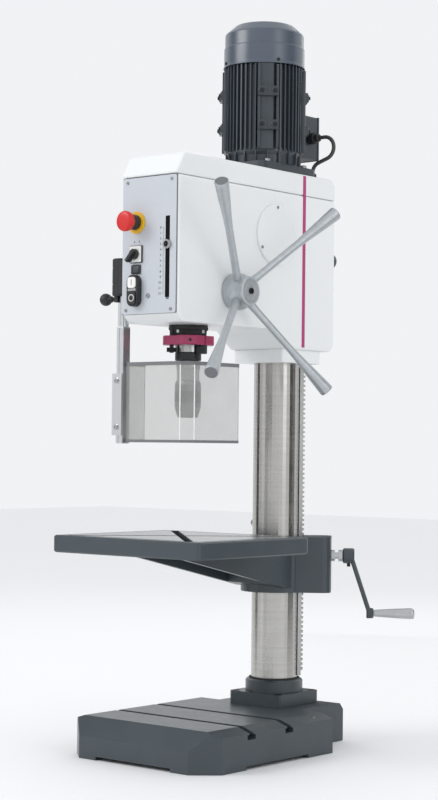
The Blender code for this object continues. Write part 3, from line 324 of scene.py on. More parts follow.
def block(name, low, high, edge=0.0008, segments=2):
    """A block between two corners, with all its edges bevelled."""
    bpy.ops.object.select_all(action="DESELECT")
    middle = (Vector(low) + Vector(high)) / 2
    bpy.ops.mesh.primitive_cube_add(size=1.0, location=middle)
    piece = bpy.context.object
    piece.name = piece.data.name = name
    piece.scale = Vector(high) - Vector(low)
    bpy.ops.object.transform_apply(location=False, rotation=False, scale=True)
    bpy.ops.object.mode_set(mode="EDIT")
    bpy.ops.mesh.select_all(action="SELECT")
    bpy.ops.mesh.bevel(offset=edge, segments=segments)
    bpy.ops.object.mode_set(mode="OBJECT")
    return piece


def hoop(name, centre, turned, radius, thickness, steps, squash):
    """A round ring, squashed flat along one of its sides."""
    bpy.ops.object.select_all(action="DESELECT")
    bpy.ops.mesh.primitive_torus_add(location=centre, rotation=turned, major_radius=radius,
                                     minor_radius=thickness, major_segments=steps[0],
                                     minor_segments=steps[1])
    piece = bpy.context.object
    piece.name = piece.data.name = name
    bpy.ops.object.mode_set(mode="EDIT")
    bpy.ops.transform.resize(value=squash)
    bpy.ops.object.mode_set(mode="OBJECT")
    return piece


def socket_screw(name, centre, axis, radius, height, finish, body):
    """A cap screw: a plain round head with a chamfer and a round socket sunk in its top."""
    screw = stacked(name, [(radius, 0), (radius, height * 0.88), (radius * 0.93, height),
                           (radius * 0.56, height), (radius * 0.52, height * 0.55)], centre, axis, 24)
    return put(screw, finish, body)


black_oxide = metal("black_oxide", (0.045, 0.045, 0.048), 0.38, (400.0, 400.0, 400.0), 0.10)
flange_step, screw_square = 0.124, 0.0655
corners = ((-1, -1), (1, -1), (1, 1), (-1, 1))
for number, (side_x, side_y) in enumerate(corners):
    socket_screw(f"flange_screw_{number + 1}",
                 (screw_square * side_x, screw_square * side_y, flange_step + 0.0002),
                 (0, 0, 1), 0.0090, 0.0008, black_oxide, "frame")

flange_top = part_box("column_flange")[1][2]
column_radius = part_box("column")[1][0]
seal = hoop("column_seal", (0, 0, flange_top + 0.0016), (0, 0, 0), column_radius + 0.0030, 0.0026,
            (72, 14), (1, 1, 0.75))
put(seal, soft_rubber, "frame", 60)

base_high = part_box("base")[1]
plug_y = -0.1080
socket_screw("base_plug", (base_high[0] - 0.0200, plug_y, base_high[2] - 0.0062), (0.30, 0, 0.95),
             0.0042, 0.0012, bright_steel, "frame")

# ------------------------------------------------------------------ table's work face
# Inside a raised rim the cast table is planed and oiled, so it shines more than the rest.  The
# two slots cross it from corner to corner and part it into four lands.
table_low, table_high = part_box("table")
table_rim, table_back, slot_mouth = 0.0240, -0.1576, 0.0204
table_middle = Vector((0, -0.3554, table_high[2]))
oiled_iron = sprayed("oiled_iron", (0.062, 0.080, 0.082), 0.24, cast=0.05, drift=0.16, coat=0.45)
face = block("planed_face",
             (table_low[0] + table_rim, table_low[1] + table_rim, table_middle.z - 0.0006),
             (table_high[0] - table_rim, table_back - table_rim, table_middle.z + 0.0004),
             0.0002, 1)
for turn in (45, -45):
    bpy.ops.object.select_all(action="DESELECT")
    bpy.ops.mesh.primitive_cube_add(size=1.0, location=table_middle,
                                    rotation=(0, 0, radians(turn)))
    gap = bpy.context.object
    gap.scale = (0.7, slot_mouth, 0.01)
    bpy.ops.object.select_all(action="DESELECT")
    bpy.context.view_layer.objects.active = face
    parting = face.modifiers.new("parting", "BOOLEAN")
    parting.object = gap
    parting.operation = "DIFFERENCE"
    parting.solver = "EXACT"
    bpy.ops.object.modifier_apply(modifier="parting")
    bpy.data.objects.remove(gap)
put(face, oiled_iron, "table_unit")

# ------------------------------------------------------------------ table crank
# The crank's arm is clamped to the worm's shaft with a set screw, and its polished grip turns
# freely on a pin.  The grip is turned in one piece, waisted near the arm and round at its end.
rack_side = radians(36.0)
outward = Vector((cos(rack_side), sin(rack_side), 0))
across = Vector((-sin(rack_side), cos(rack_side), 0))
worm_offset, worm_level, crank_throw = -0.019, 0.4598, 0.1404
crank_axis = across * worm_offset + Vector((0, 0, worm_level))
grip_axis = crank_axis - Vector((0, 0, crank_throw))
grip = stacked("grip", [(0.0062, 0.2455), (0.0085, 0.2462), (0.0089, 0.2540), (0.0098, 0.2680),
                        (0.0110, 0.2860), (0.0121, 0.3050), (0.0128, 0.3210), (0.0131, 0.3330),
                        (0.0130, 0.3395), (0.0122, 0.3425), (0.0105, 0.3440), (0.0050, 0.3446)],
               grip_axis, outward)
put(grip, bright_steel, "crank_handle", 50)
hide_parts("crank_grip")
socket_screw("crank_set_screw", crank_axis + outward * 0.1820 - Vector((0, 0, 0.0180)),
             (0, 0, -1), 0.0042, 0.0085, black_oxide, "crank")

# ------------------------------------------------------------------ head trim
# A red-purple stripe runs up both cheeks of the head and its cover.  Three screws hold the round
# side cover, and a small screw in each corner holds the front panel; a dark grey rim round its edge is
# painted shade in the seam.
head_low, head_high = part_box("head_casting")
lid_low, lid_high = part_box("head_cover")
stripe_enamel = sprayed("stripe_enamel", (0.42, 0.020, 0.16), 0.32, drift=0.03)
stripe_y, stripe_width = -0.0068, 0.0118
for side, stripe_name in ((1, "stripe_right"), (-1, "stripe_left")):
    bpy.ops.object.select_all(action="DESELECT")
    bpy.ops.mesh.primitive_plane_add(
        size=1.0, location=(side * (head_high[0] + 0.0002), stripe_y, head_low[2] + 0.006))
    stripe = bpy.context.object
    stripe.name = stripe.data.name = stripe_name
    bpy.ops.object.mode_set(mode="EDIT")
    bpy.ops.transform.resize(value=(0.0003, stripe_width, 1))
    # up the casting, over the joint, up the cover and in along its top edge
    for rise in ((0, 0, lid_low[2] - head_low[2] - 0.0070), (0, 0, 0.0009),
                 (0, 0, lid_high[2] - lid_low[2] - 0.0046), (-side * 0.0014, 0, 0.0030)):
        bpy.ops.mesh.extrude_region_move(TRANSFORM_OT_translate={"value": rise})
    faces_out()
    put(stripe, stripe_enamel, "frame")

cover_low, cover_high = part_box("side_cover")
cover_middle = (cover_low + cover_high) / 2
cover_screw_circle = 0.067
for number, turn in enumerate((90, 210, 330)):
    socket_screw(f"cover_screw_{number + 1}",
                 (cover_high[0] - 0.0010, cover_middle[1] + cover_screw_circle * cos(radians(turn)),
                  cover_middle[2] + cover_screw_circle * sin(radians(turn))), (1, 0, 0),
                 0.0042, 0.0022, bright_steel, "frame")

panel_low, panel_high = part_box("control_panel")
panel_face = panel_low[1]
for number, (x, z) in enumerate(
        ((-0.0680, 1.3335), (0.0680, 1.3335), (-0.0700, 1.0385), (0.0680, 1.0375))):
    socket_screw(f"panel_screw_{number + 1}", (x, panel_face, z), (0, -1, 0), 0.0036, 0.0020,
                 gear_steel, "frame")
# painted shade: a dark grey rim just proud of the panel's edge stands in for the shade in its seam
seam_lip = 0.0008
seam_shade_rim = block("panel_seam_shade",
             (panel_low[0] - seam_lip, panel_face + 0.0007, panel_low[2] - seam_lip),
             (panel_high[0] + seam_lip, panel_high[1] + 0.0006, panel_high[2] + seam_lip),
             0.0003, 1)
painted_seam_shade = moulded("painted_seam_shade", (0.16, 0.165, 0.17), 0.5, 900.0, 0.02)
put(seam_shade_rim, painted_seam_shade, "frame")

# ------------------------------------------------------------------ depth scale
# Printed divisions and plain numbers stand beside the slot that the quill's pointer runs in,
# every fifth line longer.  A near-black block with little reflection fills the slot as painted shade.
ink = moulded("printed_ink", (0.030, 0.032, 0.036), 0.50, 900.0, 0.02)
scale_top, scale_step, scale_foot = 1.2240, 0.01255, 1.0725
slot_x = 0.0575
# painted shade: near-black and barely reflecting, so the slot reads as a deep shaded gap
painted_shade_black = moulded("painted_shade_black", (0.004, 0.004, 0.005), 0.80, 900.0, 0.02)
painted_shade_black.node_tree.nodes["Principled BSDF"].inputs["Specular IOR Level"].default_value = 0.15
slot_shade = block("painted_slot_shade", (slot_x - 0.0072, panel_face - 0.00025, 1.0650),
               (slot_x + 0.0058, panel_face + 0.0018, 1.2500), 0.0001, 1)
put(slot_shade, painted_shade_black, "frame")
division_end = slot_x - 0.0110
for step in range(65):
    z = scale_top - step * scale_step / 5
    length = 0.0072 if step % 5 == 0 else 0.0038
    if z < scale_foot:
        break
    division = block(f"division_{step:02d}",
                     (division_end - length, panel_face - 0.00015, z - 0.00025),
                     (division_end, panel_face + 0.0002, z + 0.00025), 0.00005, 1)
    put(division, ink, "frame")
for number in range(13):
    bpy.ops.object.select_all(action="DESELECT")
    bpy.ops.object.text_add(location=(0, 0, 0))
    numeral = bpy.context.object
    numeral.data.body = str(number)
    numeral.data.size = 0.0080
    numeral.data.align_x = "RIGHT"
    numeral.data.align_y = "CENTER"
    numeral.data.extrude = 0.00015
    numeral.data.resolution_u = 3
    numeral.name = f"numeral_{number:02d}"
    bpy.ops.object.convert(target="MESH")
    numeral = bpy.context.object
    numeral.matrix_world = (Matrix.Translation((slot_x - 0.0200, panel_face - 0.0001,
                                                scale_top - number * scale_step))
                            @ Matrix.Rotation(radians(90), 4, "X"))
    put(numeral, ink, "frame")

# ------------------------------------------------------------------ switches
# The stop mushroom stands on a dark sleeve in front of its yellow disc.  Below it are a rotary
# switch on a square plate, a small blank cover, and a double push button with a lamp.
stop_low, stop_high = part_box("e_stop_button")
stop_middle = (stop_low + stop_high) / 2
stop_front = stop_low[1]
mushroom = stacked("mushroom", [(0.0140, -0.0180), (0.0198, -0.0178), (0.0219, -0.0168),
                                (0.0226, -0.0150), (0.0228, -0.0125), (0.0233, -0.0100),
                                (0.0237, -0.0075), (0.0236, -0.0055), (0.0228, -0.0034),
                                (0.0210, -0.0018), (0.0175, -0.0008), (0.0120, -0.0003),
                                (0.0050, -0.0001)],
                   (stop_middle[0], stop_front, stop_middle[2]), (0, -1, 0), 64)
put(mushroom, stop_red, "e_stop", 50)
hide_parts("e_stop_button")
sleeve = stacked("stop_sleeve", [(0.0172, 0.0010), (0.0176, 0.0016), (0.0176, 0.0090), (0.0172, 0.0096),
                                 (0.0172, 0.0106), (0.0176, 0.0112), (0.0176, 0.0175), (0.0168, 0.0190),
                                 (0.0130, 0.0192)],
                 (stop_middle[0], panel_face - 0.0046, stop_middle[2]), (0, -1, 0))
put(sleeve, black_moulding, "frame", 50)

plate_low, plate_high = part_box("mode_switch_plate")
switch_rim = block("switch_rim",
                   (plate_low[0] - 0.0014, panel_face - 0.0042, plate_low[2] - 0.0014),
                   (plate_high[0] + 0.0014, panel_face - 0.0001, plate_high[2] + 0.0014), 0.0012)
put(switch_rim, black_moulding, "frame")
control_x = (plate_low[0] + plate_high[0]) / 2
switch_z = (plate_low[2] + plate_high[2]) / 2
mark_circle = 0.0153
for number, (turn, half_length) in enumerate(((45, 0.0011), (135, 0.0011), (0, 0.0006), (180, 0.0006))):
    x = control_x + mark_circle * cos(radians(turn))
    z = switch_z + mark_circle * sin(radians(turn))
    dot = block(f"switch_mark_{number + 1}", (x - half_length, plate_low[1] - 0.0002, z - 0.0006),
                (x + half_length, plate_low[1] + 0.0002, z + 0.0006), 0.0001, 1)
    put(dot, ink, "frame")

blank = block("blank_cover", (control_x - 0.0140, panel_face - 0.0042, 1.1215),
              (control_x + 0.0140, panel_face - 0.0001, 1.1425), 0.0014)
put(blank, black_moulding, "frame")
blank_face = block("blank_face", (control_x - 0.0105, panel_face - 0.0050, 1.1245),
                   (control_x + 0.0105, panel_face - 0.0040, 1.1395), 0.0008)
put(blank_face, motor_enamel, "frame")
for side_name, x in (("left", -0.0070), ("right", 0.0075)):
    mark = block(f"switch_line_{side_name}",
                 (control_x + x - 0.0010, panel_face - 0.0002, 1.1935),
                 (control_x + x + 0.0010, panel_face + 0.0002, 1.1985), 0.0001, 1)
    put(mark, ink, "frame")

button_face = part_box("button_housing")[0][1]
start_low, start_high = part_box("start_button")
cap_front = start_low[1]
start_bar = block("start_bar", (control_x - 0.0009, cap_front - 0.0003, start_low[2] + 0.0065),
                  (control_x + 0.0009, cap_front + 0.0003, start_high[2] - 0.0055), 0.0002, 1)
put(start_bar, ink, "start")
lamp_glass = moulded("lamp_glass", (0.33, 0.34, 0.34), 0.18, 500.0, 0.05)
lens = block("lamp_lens", (control_x - 0.0122, button_face - 0.0016, start_low[2] - 0.0072),
             (control_x + 0.0122, button_face + 0.0006, start_low[2] - 0.0012), 0.0007)
put(lens, lamp_glass, "frame")
stop_cap_low, stop_cap_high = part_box("stop_button")
stop_ring = hoop("stop_ring", (control_x, cap_front, (stop_cap_low[2] + stop_cap_high[2]) / 2),
                 (pi / 2, 0, 0), 0.0074, 0.0009, (40, 8), (1, 0.35, 1))
put(stop_ring, white_moulding, "stop", 60)

pointer_low, pointer_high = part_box("depth_pointer")
pointer_z = (pointer_low[2] + pointer_high[2]) / 2
pointer_ring = stacked("pointer_ring", [(0.0098, 0), (0.0098, 0.0010), (0.0090, 0.0016),
                                        (0.0068, 0.0016), (0.0062, 0.0006)],
                       (slot_x, pointer_low[1] + 0.0006, pointer_z), (0, -1, 0), 40)
put(pointer_ring, gear_steel, "quill_unit")
socket_screw("pointer_screw", (slot_x, pointer_low[1] - 0.0001, pointer_z), (0, -1, 0),
             0.0042, 0.0024, black_oxide, "quill_unit")

lock = stacked("panel_lock", [(0.0052, 0), (0.0052, 0.0024), (0.0046, 0.0032), (0.0020, 0.0032),
                              (0.0018, 0.0022)], (-0.0017, panel_face, 1.0700), (0, -1, 0), 32)
put(lock, gear_steel, "frame")

# ------------------------------------------------------------------ feed levers
# Four flared alloy levers screw into a round hub.  A dark groove runs round the hub's face, a
# screw in its middle pulls it on the shaft, and dark discs close the levers' ends.
hub_low, hub_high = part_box("feed_hub")
feed_axis = Vector((0, (hub_low[1] + hub_high[1]) / 2, (hub_low[2] + hub_high[2]) / 2))
hub_face = hub_high[0]
hub = stacked("hub", [(0.0400, hub_low[0]), (0.0426, hub_low[0] + 0.0008), (0.0430, hub_low[0] + 0.0030),
                      (0.0428, 0.1050), (0.0424, 0.1100), (0.0405, 0.1150), (0.0372, 0.1195),
                      (0.0356, 0.1240), (0.0348, 0.1320), (0.0340, 0.1370), (0.0325, 0.1392),
                      (0.0300, hub_face),
                      (0.0262, hub_face), (0.0254, hub_face - 0.0012), (0.0236, hub_face - 0.0012),
                      (0.0228, hub_face), (0.0120, hub_face + 0.0004), (0.0110, hub_face - 0.0010),
                      (0.0040, hub_face - 0.0010)], feed_axis, (1, 0, 0), 72)
put(hub, satin_alloy, "feed", 40)
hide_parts("feed_hub")
socket_screw("hub_screw", feed_axis + Vector((hub_face - 0.0012, 0, 0)), (1, 0, 0), 0.0072, 0.0034,
             black_oxide, "feed")
lever_tilt, lever_reach, first_lever = 0.36, 0.303, 41.25
lever_foot = feed_axis + Vector((0.1045, 0, 0))
end_cap = metal("lever_end", (0.24, 0.25, 0.26), 0.44, (300.0, 300.0, 300.0), 0.15)
for number in range(4):
    turn = radians(first_lever + 90 * number)
    along = Vector((lever_tilt, cos(turn), sin(turn))).normalized()
    length = lever_reach * (1 + lever_tilt ** 2) ** 0.5
    flare = [(0.0098, 0.0280), (0.0096, 0.0500), (0.0090, 0.0640), (0.0088, length - 0.160),
             (0.0089, length - 0.135), (0.0096, length - 0.115), (0.0108, length - 0.095),
             (0.0124, length - 0.072), (0.0140, length - 0.048), (0.0153, length - 0.025),
             (0.0161, length - 0.010), (0.0165, length - 0.0035), (0.0163, length - 0.0012),
             (0.0156, length - 0.0004), (0.0148, length - 0.0004), (0.0146, length - 0.0012)]
    lever = stacked(f"lever_{number + 1}", flare, lever_foot, along)
    put(lever, satin_alloy, "feed", 40)
    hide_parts(f"feed_arm_{number + 1}")
    disc = stacked(f"lever_end_{number + 1}",
                   [(0.0143, length - 0.0030), (0.0143, length - 0.0004),
                    (0.0137, length + 0.0002), (0.0040, length + 0.0003)], lever_foot, along)
    put(disc, end_cap, "feed")

# ------------------------------------------------------------------ quill's collar and depth stop
# Screws hold the bumper's plate under the head.  The red-purple collar is split and pinched by a
# screw, and carries the threaded depth rod with its knurled nut, and a black clamping block.
quill_low, quill_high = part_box("quill")
spindle_low, spindle_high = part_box("spindle")
quill_x, quill_y = (quill_low[0] + quill_high[0]) / 2, (spindle_low[1] + spindle_high[1]) / 2
collar_low, collar_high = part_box("quill_collar")
bumper_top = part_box("quill_bumper")[1][2]
bumper_circle = 0.0400
for number in range(4):
    turn = radians(5 + 90 * number)
    socket_screw(f"bumper_screw_{number + 1}",
                 (quill_x + bumper_circle * cos(turn), quill_y + bumper_circle * sin(turn),
                  bumper_top - 0.0112),
                 (0, 0, -1), 0.0052, 0.0070, bright_steel, "frame")
pinch = stacked("collar_pinch", [(0.0030, 0), (0.0034, 0.0004), (0.0034, 0.0010), (0.0018, 0.0010),
                                 (0.0016, 0.0004)],
                (collar_high[0] - 0.0100, collar_low[1] + 0.0100, (collar_low[2] + collar_high[2]) / 2),
                (0.7071, -0.7071, 0), 20)
put(pinch, black_oxide, "quill_unit")
clamp_block = block("clamp_block", (quill_x + 0.0330, quill_y - 0.0120, collar_low[2] - 0.0205),
                    (quill_x + 0.0490, quill_y + 0.0120, collar_low[2] + 0.0004), 0.0018)
put(clamp_block, black_moulding, "quill_unit")

nut_low, nut_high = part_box("depth_stop_nut")
nut_middle = (nut_low + nut_high) / 2
nut_radius = (nut_high[0] - nut_low[0]) / 2
bpy.ops.object.select_all(action="DESELECT")
bpy.ops.mesh.primitive_cylinder_add(vertices=72, radius=nut_radius, depth=nut_high[2] - nut_low[2],
                                    location=nut_middle)
nut = bpy.context.object
nut.name = nut.data.name = "knurled_nut"
bpy.ops.object.mode_set(mode="EDIT")
mesh = bmesh.from_edit_mesh(nut.data)
for face in mesh.faces:
    face.select = abs(face.normal.z) < 0.1
bmesh.update_edit_mesh(nut.data)
bpy.ops.mesh.inset(thickness=0.00022, depth=-0.0004, use_individual=True)
faces_out()
put(nut, black_oxide, "depth_nut", 20)
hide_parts("depth_stop_nut")

# ------------------------------------------------------------------ key chuck
# The chuck's body is ground steel, and its outer sleeve has a knurled band for the hand.  Three
# holes for the key stand round the sleeve above the band.
chuck_steel = metal("chuck_steel", (0.30, 0.305, 0.31), 0.38, (2.0, 2.0, 600.0), 0.05)
knurled_steel = metal("knurled_steel", (0.20, 0.205, 0.21), 0.46, (700.0, 700.0, 700.0), 0.45)
chuck_axis = Vector((quill_x, quill_y, 0))
outer = stacked("chuck_shell", [(0.0168, 0.7934), (0.0226, 0.7933), (0.0236, 0.7940), (0.0242, 0.7956),
                                (0.0262, 0.8020), (0.0286, 0.8100), (0.0305, 0.8162), (0.0308, 0.8185),
                                (0.0308, 0.8260), (0.0303, 0.8264), (0.0303, 0.8270), (0.0308, 0.8274),
                                (0.0308, 0.8560), (0.0303, 0.8564), (0.0303, 0.8570), (0.0308, 0.8574),
                                (0.0308, 0.8690), (0.0303, 0.8716), (0.0284, 0.8784), (0.0276, 0.8794),
                                (0.0180, 0.8794), (0.0180, 0.8740)],
                chuck_axis, (0, 0, 1), 96)
put(outer, chuck_steel, "chuck_outer", 40)
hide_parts("chuck_sleeve")
upper = stacked("chuck_shoulder", [(0.0170, 0.8120), (0.0170, 0.8796), (0.0262, 0.8797), (0.0266, 0.8802),
                                   (0.0266, 0.9052), (0.0270, 0.9062), (0.0278, 0.9068), (0.0283, 0.9082),
                                   (0.0284, 0.9100), (0.0284, 0.9220), (0.0280, 0.9236), (0.0268, 0.9245),
                                   (0.0140, 0.9246), (0.0118, 0.9090)],
                chuck_axis, (0, 0, 1), 96)
put(upper, spindle_steel, "spindle_unit", 40)
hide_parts("chuck_body")
knurl = stacked("chuck_knurl", [(0.0300, 0.8276), (0.0309, 0.8280), (0.0309, 0.8554), (0.0300, 0.8558)],
                chuck_axis, (0, 0, 1), 120)
put(knurl, knurled_steel, "chuck_outer", 8)
for number in range(3):
    turn = radians(-60 + 120 * number)
    facing = Vector((cos(turn), sin(turn), 0))
    hole = stacked(f"key_hole_{number + 1}", [(0.0036, -0.0010), (0.0036, 0.0006), (0.0031, 0.0009),
                                              (0.0028, 0.0002), (0.0012, -0.0004)],
                   chuck_axis + facing * 0.0305 + Vector((0, 0, 0.8635)), facing, 20)
    put(hole, black_oxide, "chuck_outer")

# ------------------------------------------------------------------ clear chuck guard
# The guard is one bent sheet of clear plastic, slightly grey, with dark edging along its top and
# bottom.  Two screws with washers clamp it to its alloy post.
clear_sheet = bpy.data.materials.new("clear_sheet")
clear_sheet.use_nodes = True
clear_sheet.surface_render_method = "BLENDED"
tree = clear_sheet.node_tree
tree.nodes["Principled BSDF"].inputs["Coat Weight"].default_value = 0.3
tree.nodes["Principled BSDF"].inputs["IOR"].default_value = 1.45
smudge = speckled(tree, tree.nodes.new("ShaderNodeTexCoord").outputs["Object"], 14.0, 4.0)
toned(tree, smudge, (0.36, 0.37, 0.36), (0.48, 0.48, 0.46))
ranged(tree, smudge, 0.25, 0.40, "Alpha")
ranged(tree, smudge, 0.06, 0.16)
nodes["guard_shield"].data.materials.clear()
nodes["guard_shield"].data.materials.append(clear_sheet)

shield_low, shield_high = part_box("guard_shield")
sheet_thick, facet = 0.0040, 0.0235
front_y = shield_low[1] - 0.0004
right_x = shield_high[0] + 0.0004
left_x = shield_low[0] - 0.0002
left_back = shield_high[1] - 0.1210
smoke = moulded("smoke_edging", (0.17, 0.175, 0.18), 0.40, 800.0, 0.05)
edge_path = ((left_x, left_back), (left_x, front_y), (right_x - facet, front_y),
             (right_x, front_y + facet), (right_x, shield_high[1]))
for strip_name, low, high in (("top_edging", shield_high[2] - 0.0080, shield_high[2] + 0.0004),
                              ("foot_edging", shield_low[2] - 0.0004, shield_low[2] + 0.0060)):
    bpy.ops.object.select_all(action="DESELECT")
    bpy.ops.mesh.primitive_plane_add(size=1.0, location=(left_x, left_back, low))
    strip = bpy.context.object
    strip.name = strip.data.name = strip_name
    bpy.ops.object.mode_set(mode="EDIT")
    bpy.ops.mesh.merge(type="CENTER")
    bpy.ops.mesh.select_all(action="SELECT")
    for (x, y), (next_x, next_y) in zip(edge_path, edge_path[1:]):
        bpy.ops.mesh.extrude_region_move(
            TRANSFORM_OT_translate={"value": (next_x - x, next_y - y, 0)})
    bpy.ops.mesh.select_all(action="SELECT")
    bpy.ops.mesh.extrude_region_move(TRANSFORM_OT_translate={"value": (0, 0, high - low)})
    faces_out()
    wall = strip.modifiers.new("wall", "SOLIDIFY")
    wall.thickness = sheet_thick + 0.0008
    left_wing = min(strip.data.polygons, key=lambda side: side.center.x)
    wall.offset = -1.0 if left_wing.normal.x < 0 else 1.0
    wall.use_even_offset = True
    bpy.ops.object.modifier_apply(modifier="wall")
    put(strip, smoke, "guard", 20)

# painted highlights: near-white strips along the bends and cut ends of the sheet stand in for the fine
# bright lines of light they catch
painted_highlight_edge = moulded("painted_highlight_edge", (0.90, 0.91, 0.91), 0.25, 600.0, 0.03)
for number, (x, y) in enumerate(
        ((right_x - facet, front_y + 0.0003), (right_x - 0.0004, front_y + facet),
         (right_x - 0.0020, shield_high[1]), (left_x + 0.0024, left_back))):
    highlight_strip = block(f"painted_highlight_fold_{number + 1}", (x - 0.0011, y - 0.0011, shield_low[2] + 0.0058),
                 (x + 0.0011, y + 0.0011, shield_high[2] - 0.0078), 0.0007)
    put(highlight_strip, painted_highlight_edge, "guard")

post_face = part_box("guard_post")[0][1]
clamp_x = -0.1042
for number, z in enumerate((0.8770, 0.7690)):
    washer = stacked(f"guard_washer_{number + 1}",
                     [(0.0072, -0.0002), (0.0072, 0.0010), (0.0066, 0.0014), (0.0030, 0.0014)],
                     (clamp_x, post_face, z), (0, -1, 0), 32)
    put(washer, bright_steel, "guard")
    socket_screw(f"guard_screw_{number + 1}", (clamp_x, post_face - 0.0012, z), (0, -1, 0),
                 0.0050, 0.0040, bright_steel, "guard")
knob_low, knob_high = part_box("guard_lock_knob")
knob_middle = (knob_low + knob_high) / 2
bpy.ops.object.select_all(action="DESELECT")
bpy.ops.mesh.primitive_uv_sphere_add(
    segments=48, ring_count=24, radius=0.0148,
    location=(knob_low[0] + 0.0146, knob_middle[1], knob_middle[2]))
ball = bpy.context.object
ball.name = ball.data.name = "lock_ball"
bpy.ops.object.mode_set(mode="EDIT")
mesh = bmesh.from_edit_mesh(ball.data)
for face in mesh.faces:
    face.select = face.calc_center_median().x > 0.0128
bmesh.update_edit_mesh(ball.data)
bpy.ops.mesh.extrude_region_move(TRANSFORM_OT_translate={"value": (0.0035, 0, 0)})
bpy.ops.object.mode_set(mode="OBJECT")
put(ball, black_moulding, "guard_lock", 50)
stem = stacked("lock_stem", [(0.0050, 0.0004), (0.0050, 0.0210), (0.0046, 0.0225), (0.0062, 0.0250),
                             (0.0078, 0.0290), (0.0060, 0.0345)],
               (knob_high[0], knob_middle[1], knob_middle[2]), (-1, 0, 0), 32)
put(stem, black_oxide, "guard_lock", 40)
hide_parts("guard_lock_knob")

# ------------------------------------------------------------------ motor dressing
# Hexagon bolts with washers hold the motor's flange on the cover, bolts close its lugs, small
# screws hold the fan's cowl, and the terminal box has a lid on its outer side.
motor_flange_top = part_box("motor_flange")[1][2]
cowl_low, cowl_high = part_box("fan_cover")
motor_y = (cowl_low[1] + cowl_high[1]) / 2


def hexagon_bolt(name, centre, axis, radius, height, finish, body):
    """A washer and a six-sided head whose top corners are chamfered round."""
    washer = stacked(f"{name}_washer", [(radius * 1.22, 0), (radius * 1.22, height * 0.18),
                                        (radius * 1.12, height * 0.24), (radius * 0.6, height * 0.24)],
                     centre, axis, 32)
    put(washer, finish, body)
    head = stacked(name, [(radius, height * 0.2), (radius, height * 0.9), (radius * 0.88, height),
                          (radius * 0.3, height)], centre, axis, 6)
    return put(head, finish, body, 25)


for number, (side_x, side_y) in enumerate(corners):
    hexagon_bolt(f"motor_bolt_{number + 1}",
                 (0.0700 * side_x, motor_y + 0.0725 * side_y, motor_flange_top + 0.0001),
                 (0, 0, 1), 0.0075, 0.0080, bright_steel, "frame")
lug_levels = (1.5862, 1.5046)
rail_offset, lug_bolt_offset = 0.0226, 0.0162
for number in range(4):
    turn = radians(45 + 90 * number)
    out = Vector((cos(turn), sin(turn), 0))
    side = Vector((-sin(turn), cos(turn), 0))
    facing_out = (Matrix.Translation((0, motor_y, 0))
                  @ Matrix((out, side, Vector((0, 0, 1)))).transposed().to_4x4())
    for hand, hand_name in ((-1, "a"), (1, "b")):
        rail = block(f"pad_rail_{number + 1}_{hand_name}", (0.0930, -0.0032, 1.4500),
                     (0.1008, 0.0032, 1.6520), 0.0012)
        rail.matrix_world = (facing_out @ Matrix.Translation(
            rail.location + Vector((0, rail_offset * hand, 0))))
        put(rail, motor_enamel, "frame")
        for level, z in enumerate(lug_levels):
            lug_axis = Vector((0, motor_y, z))
            aside = side * lug_bolt_offset * hand
            boss = stacked(f"lug_boss_{number + 1}_{level + 1}_{hand_name}",
                           [(0.0092, -0.0060), (0.0092, 0.0022), (0.0084, 0.0030),
                            (0.0060, 0.0030)], lug_axis + out * 0.1063 + aside, out, 24)
            put(boss, motor_enamel, "frame")
            hexagon_bolt(f"lug_bolt_{number + 1}_{level + 1}_{hand_name}",
                         lug_axis + out * 0.1092 + aside, out, 0.0048, 0.0040,
                         black_oxide, "frame")
    for level, z in enumerate(lug_levels):
        rib = block(f"lug_rib_{number + 1}_{level + 1}", (0.1040, -0.0016, z - 0.0108),
                    (0.1084, 0.0016, z + 0.0108), 0.0008)
        rib.matrix_world = facing_out @ Matrix.Translation(rib.location)
        put(rib, motor_enamel, "frame")
for number in range(20):
    turn = radians(9 + 18 * number)
    rib = block(f"bell_rib_{number + 1:02d}", (0.0850, -0.0014, 1.4152),
                (0.0935, 0.0014, 1.4440), 0.0007)
    rib.matrix_world = (Matrix.Translation((0, motor_y, 0)) @ Matrix.Rotation(turn, 4, "Z")
                        @ Matrix.Translation(rib.location))
    put(rib, motor_enamel, "frame")

# ------------------------------------------------------------------ fan cowl
# The cowl is deep-drawn from sheet steel with one step in its side and a shallow cone on top,
# punched with holes for the air.  Four small screws hold its skirt on the motor.
cowl_foot, cowl_top = cowl_low[2] + 0.0001, cowl_high[2]
cowl = stacked("cowl", [(0.0700, cowl_top - 0.0050), (0.0950, cowl_top - 0.0260),
                        (0.0950, cowl_top - 0.0560), (0.0972, cowl_top - 0.0580),
                        (0.0972, cowl_foot + 0.0062), (0.0992, cowl_foot), (0.1004, cowl_foot),
                        (0.1008, cowl_foot + 0.0008), (0.1006, cowl_foot + 0.0030),
                        (0.0992, cowl_foot + 0.0062), (0.0990, cowl_foot + 0.0090),
                        (0.0990, cowl_top - 0.0590), (0.0988, cowl_top - 0.0576),
                        (0.0980, cowl_top - 0.0566), (0.0970, cowl_top - 0.0558),
                        (0.0968, cowl_top - 0.0546), (0.0968, cowl_top - 0.0262),
                        (0.0964, cowl_top - 0.0242), (0.0954, cowl_top - 0.0222),
                        (0.0936, cowl_top - 0.0204), (0.0738, cowl_top - 0.0032),
                        (0.0722, cowl_top - 0.0018), (0.0704, cowl_top - 0.0008),
                        (0.0680, cowl_top - 0.0001), (0.0640, cowl_top)],
               (0, motor_y, 0), (0, 0, 1), 96)
punches = []
for ring_radius, count in ((0.0200, 5), (0.0400, 10)):
    for hole in range(count):
        turn = 2 * pi * hole / count + 0.03
        bpy.ops.object.select_all(action="DESELECT")
        bpy.ops.mesh.primitive_cylinder_add(
            vertices=24, radius=0.0078, depth=0.03,
            location=(ring_radius * cos(turn), motor_y + ring_radius * sin(turn), cowl_top))
        punches.append(bpy.context.object)
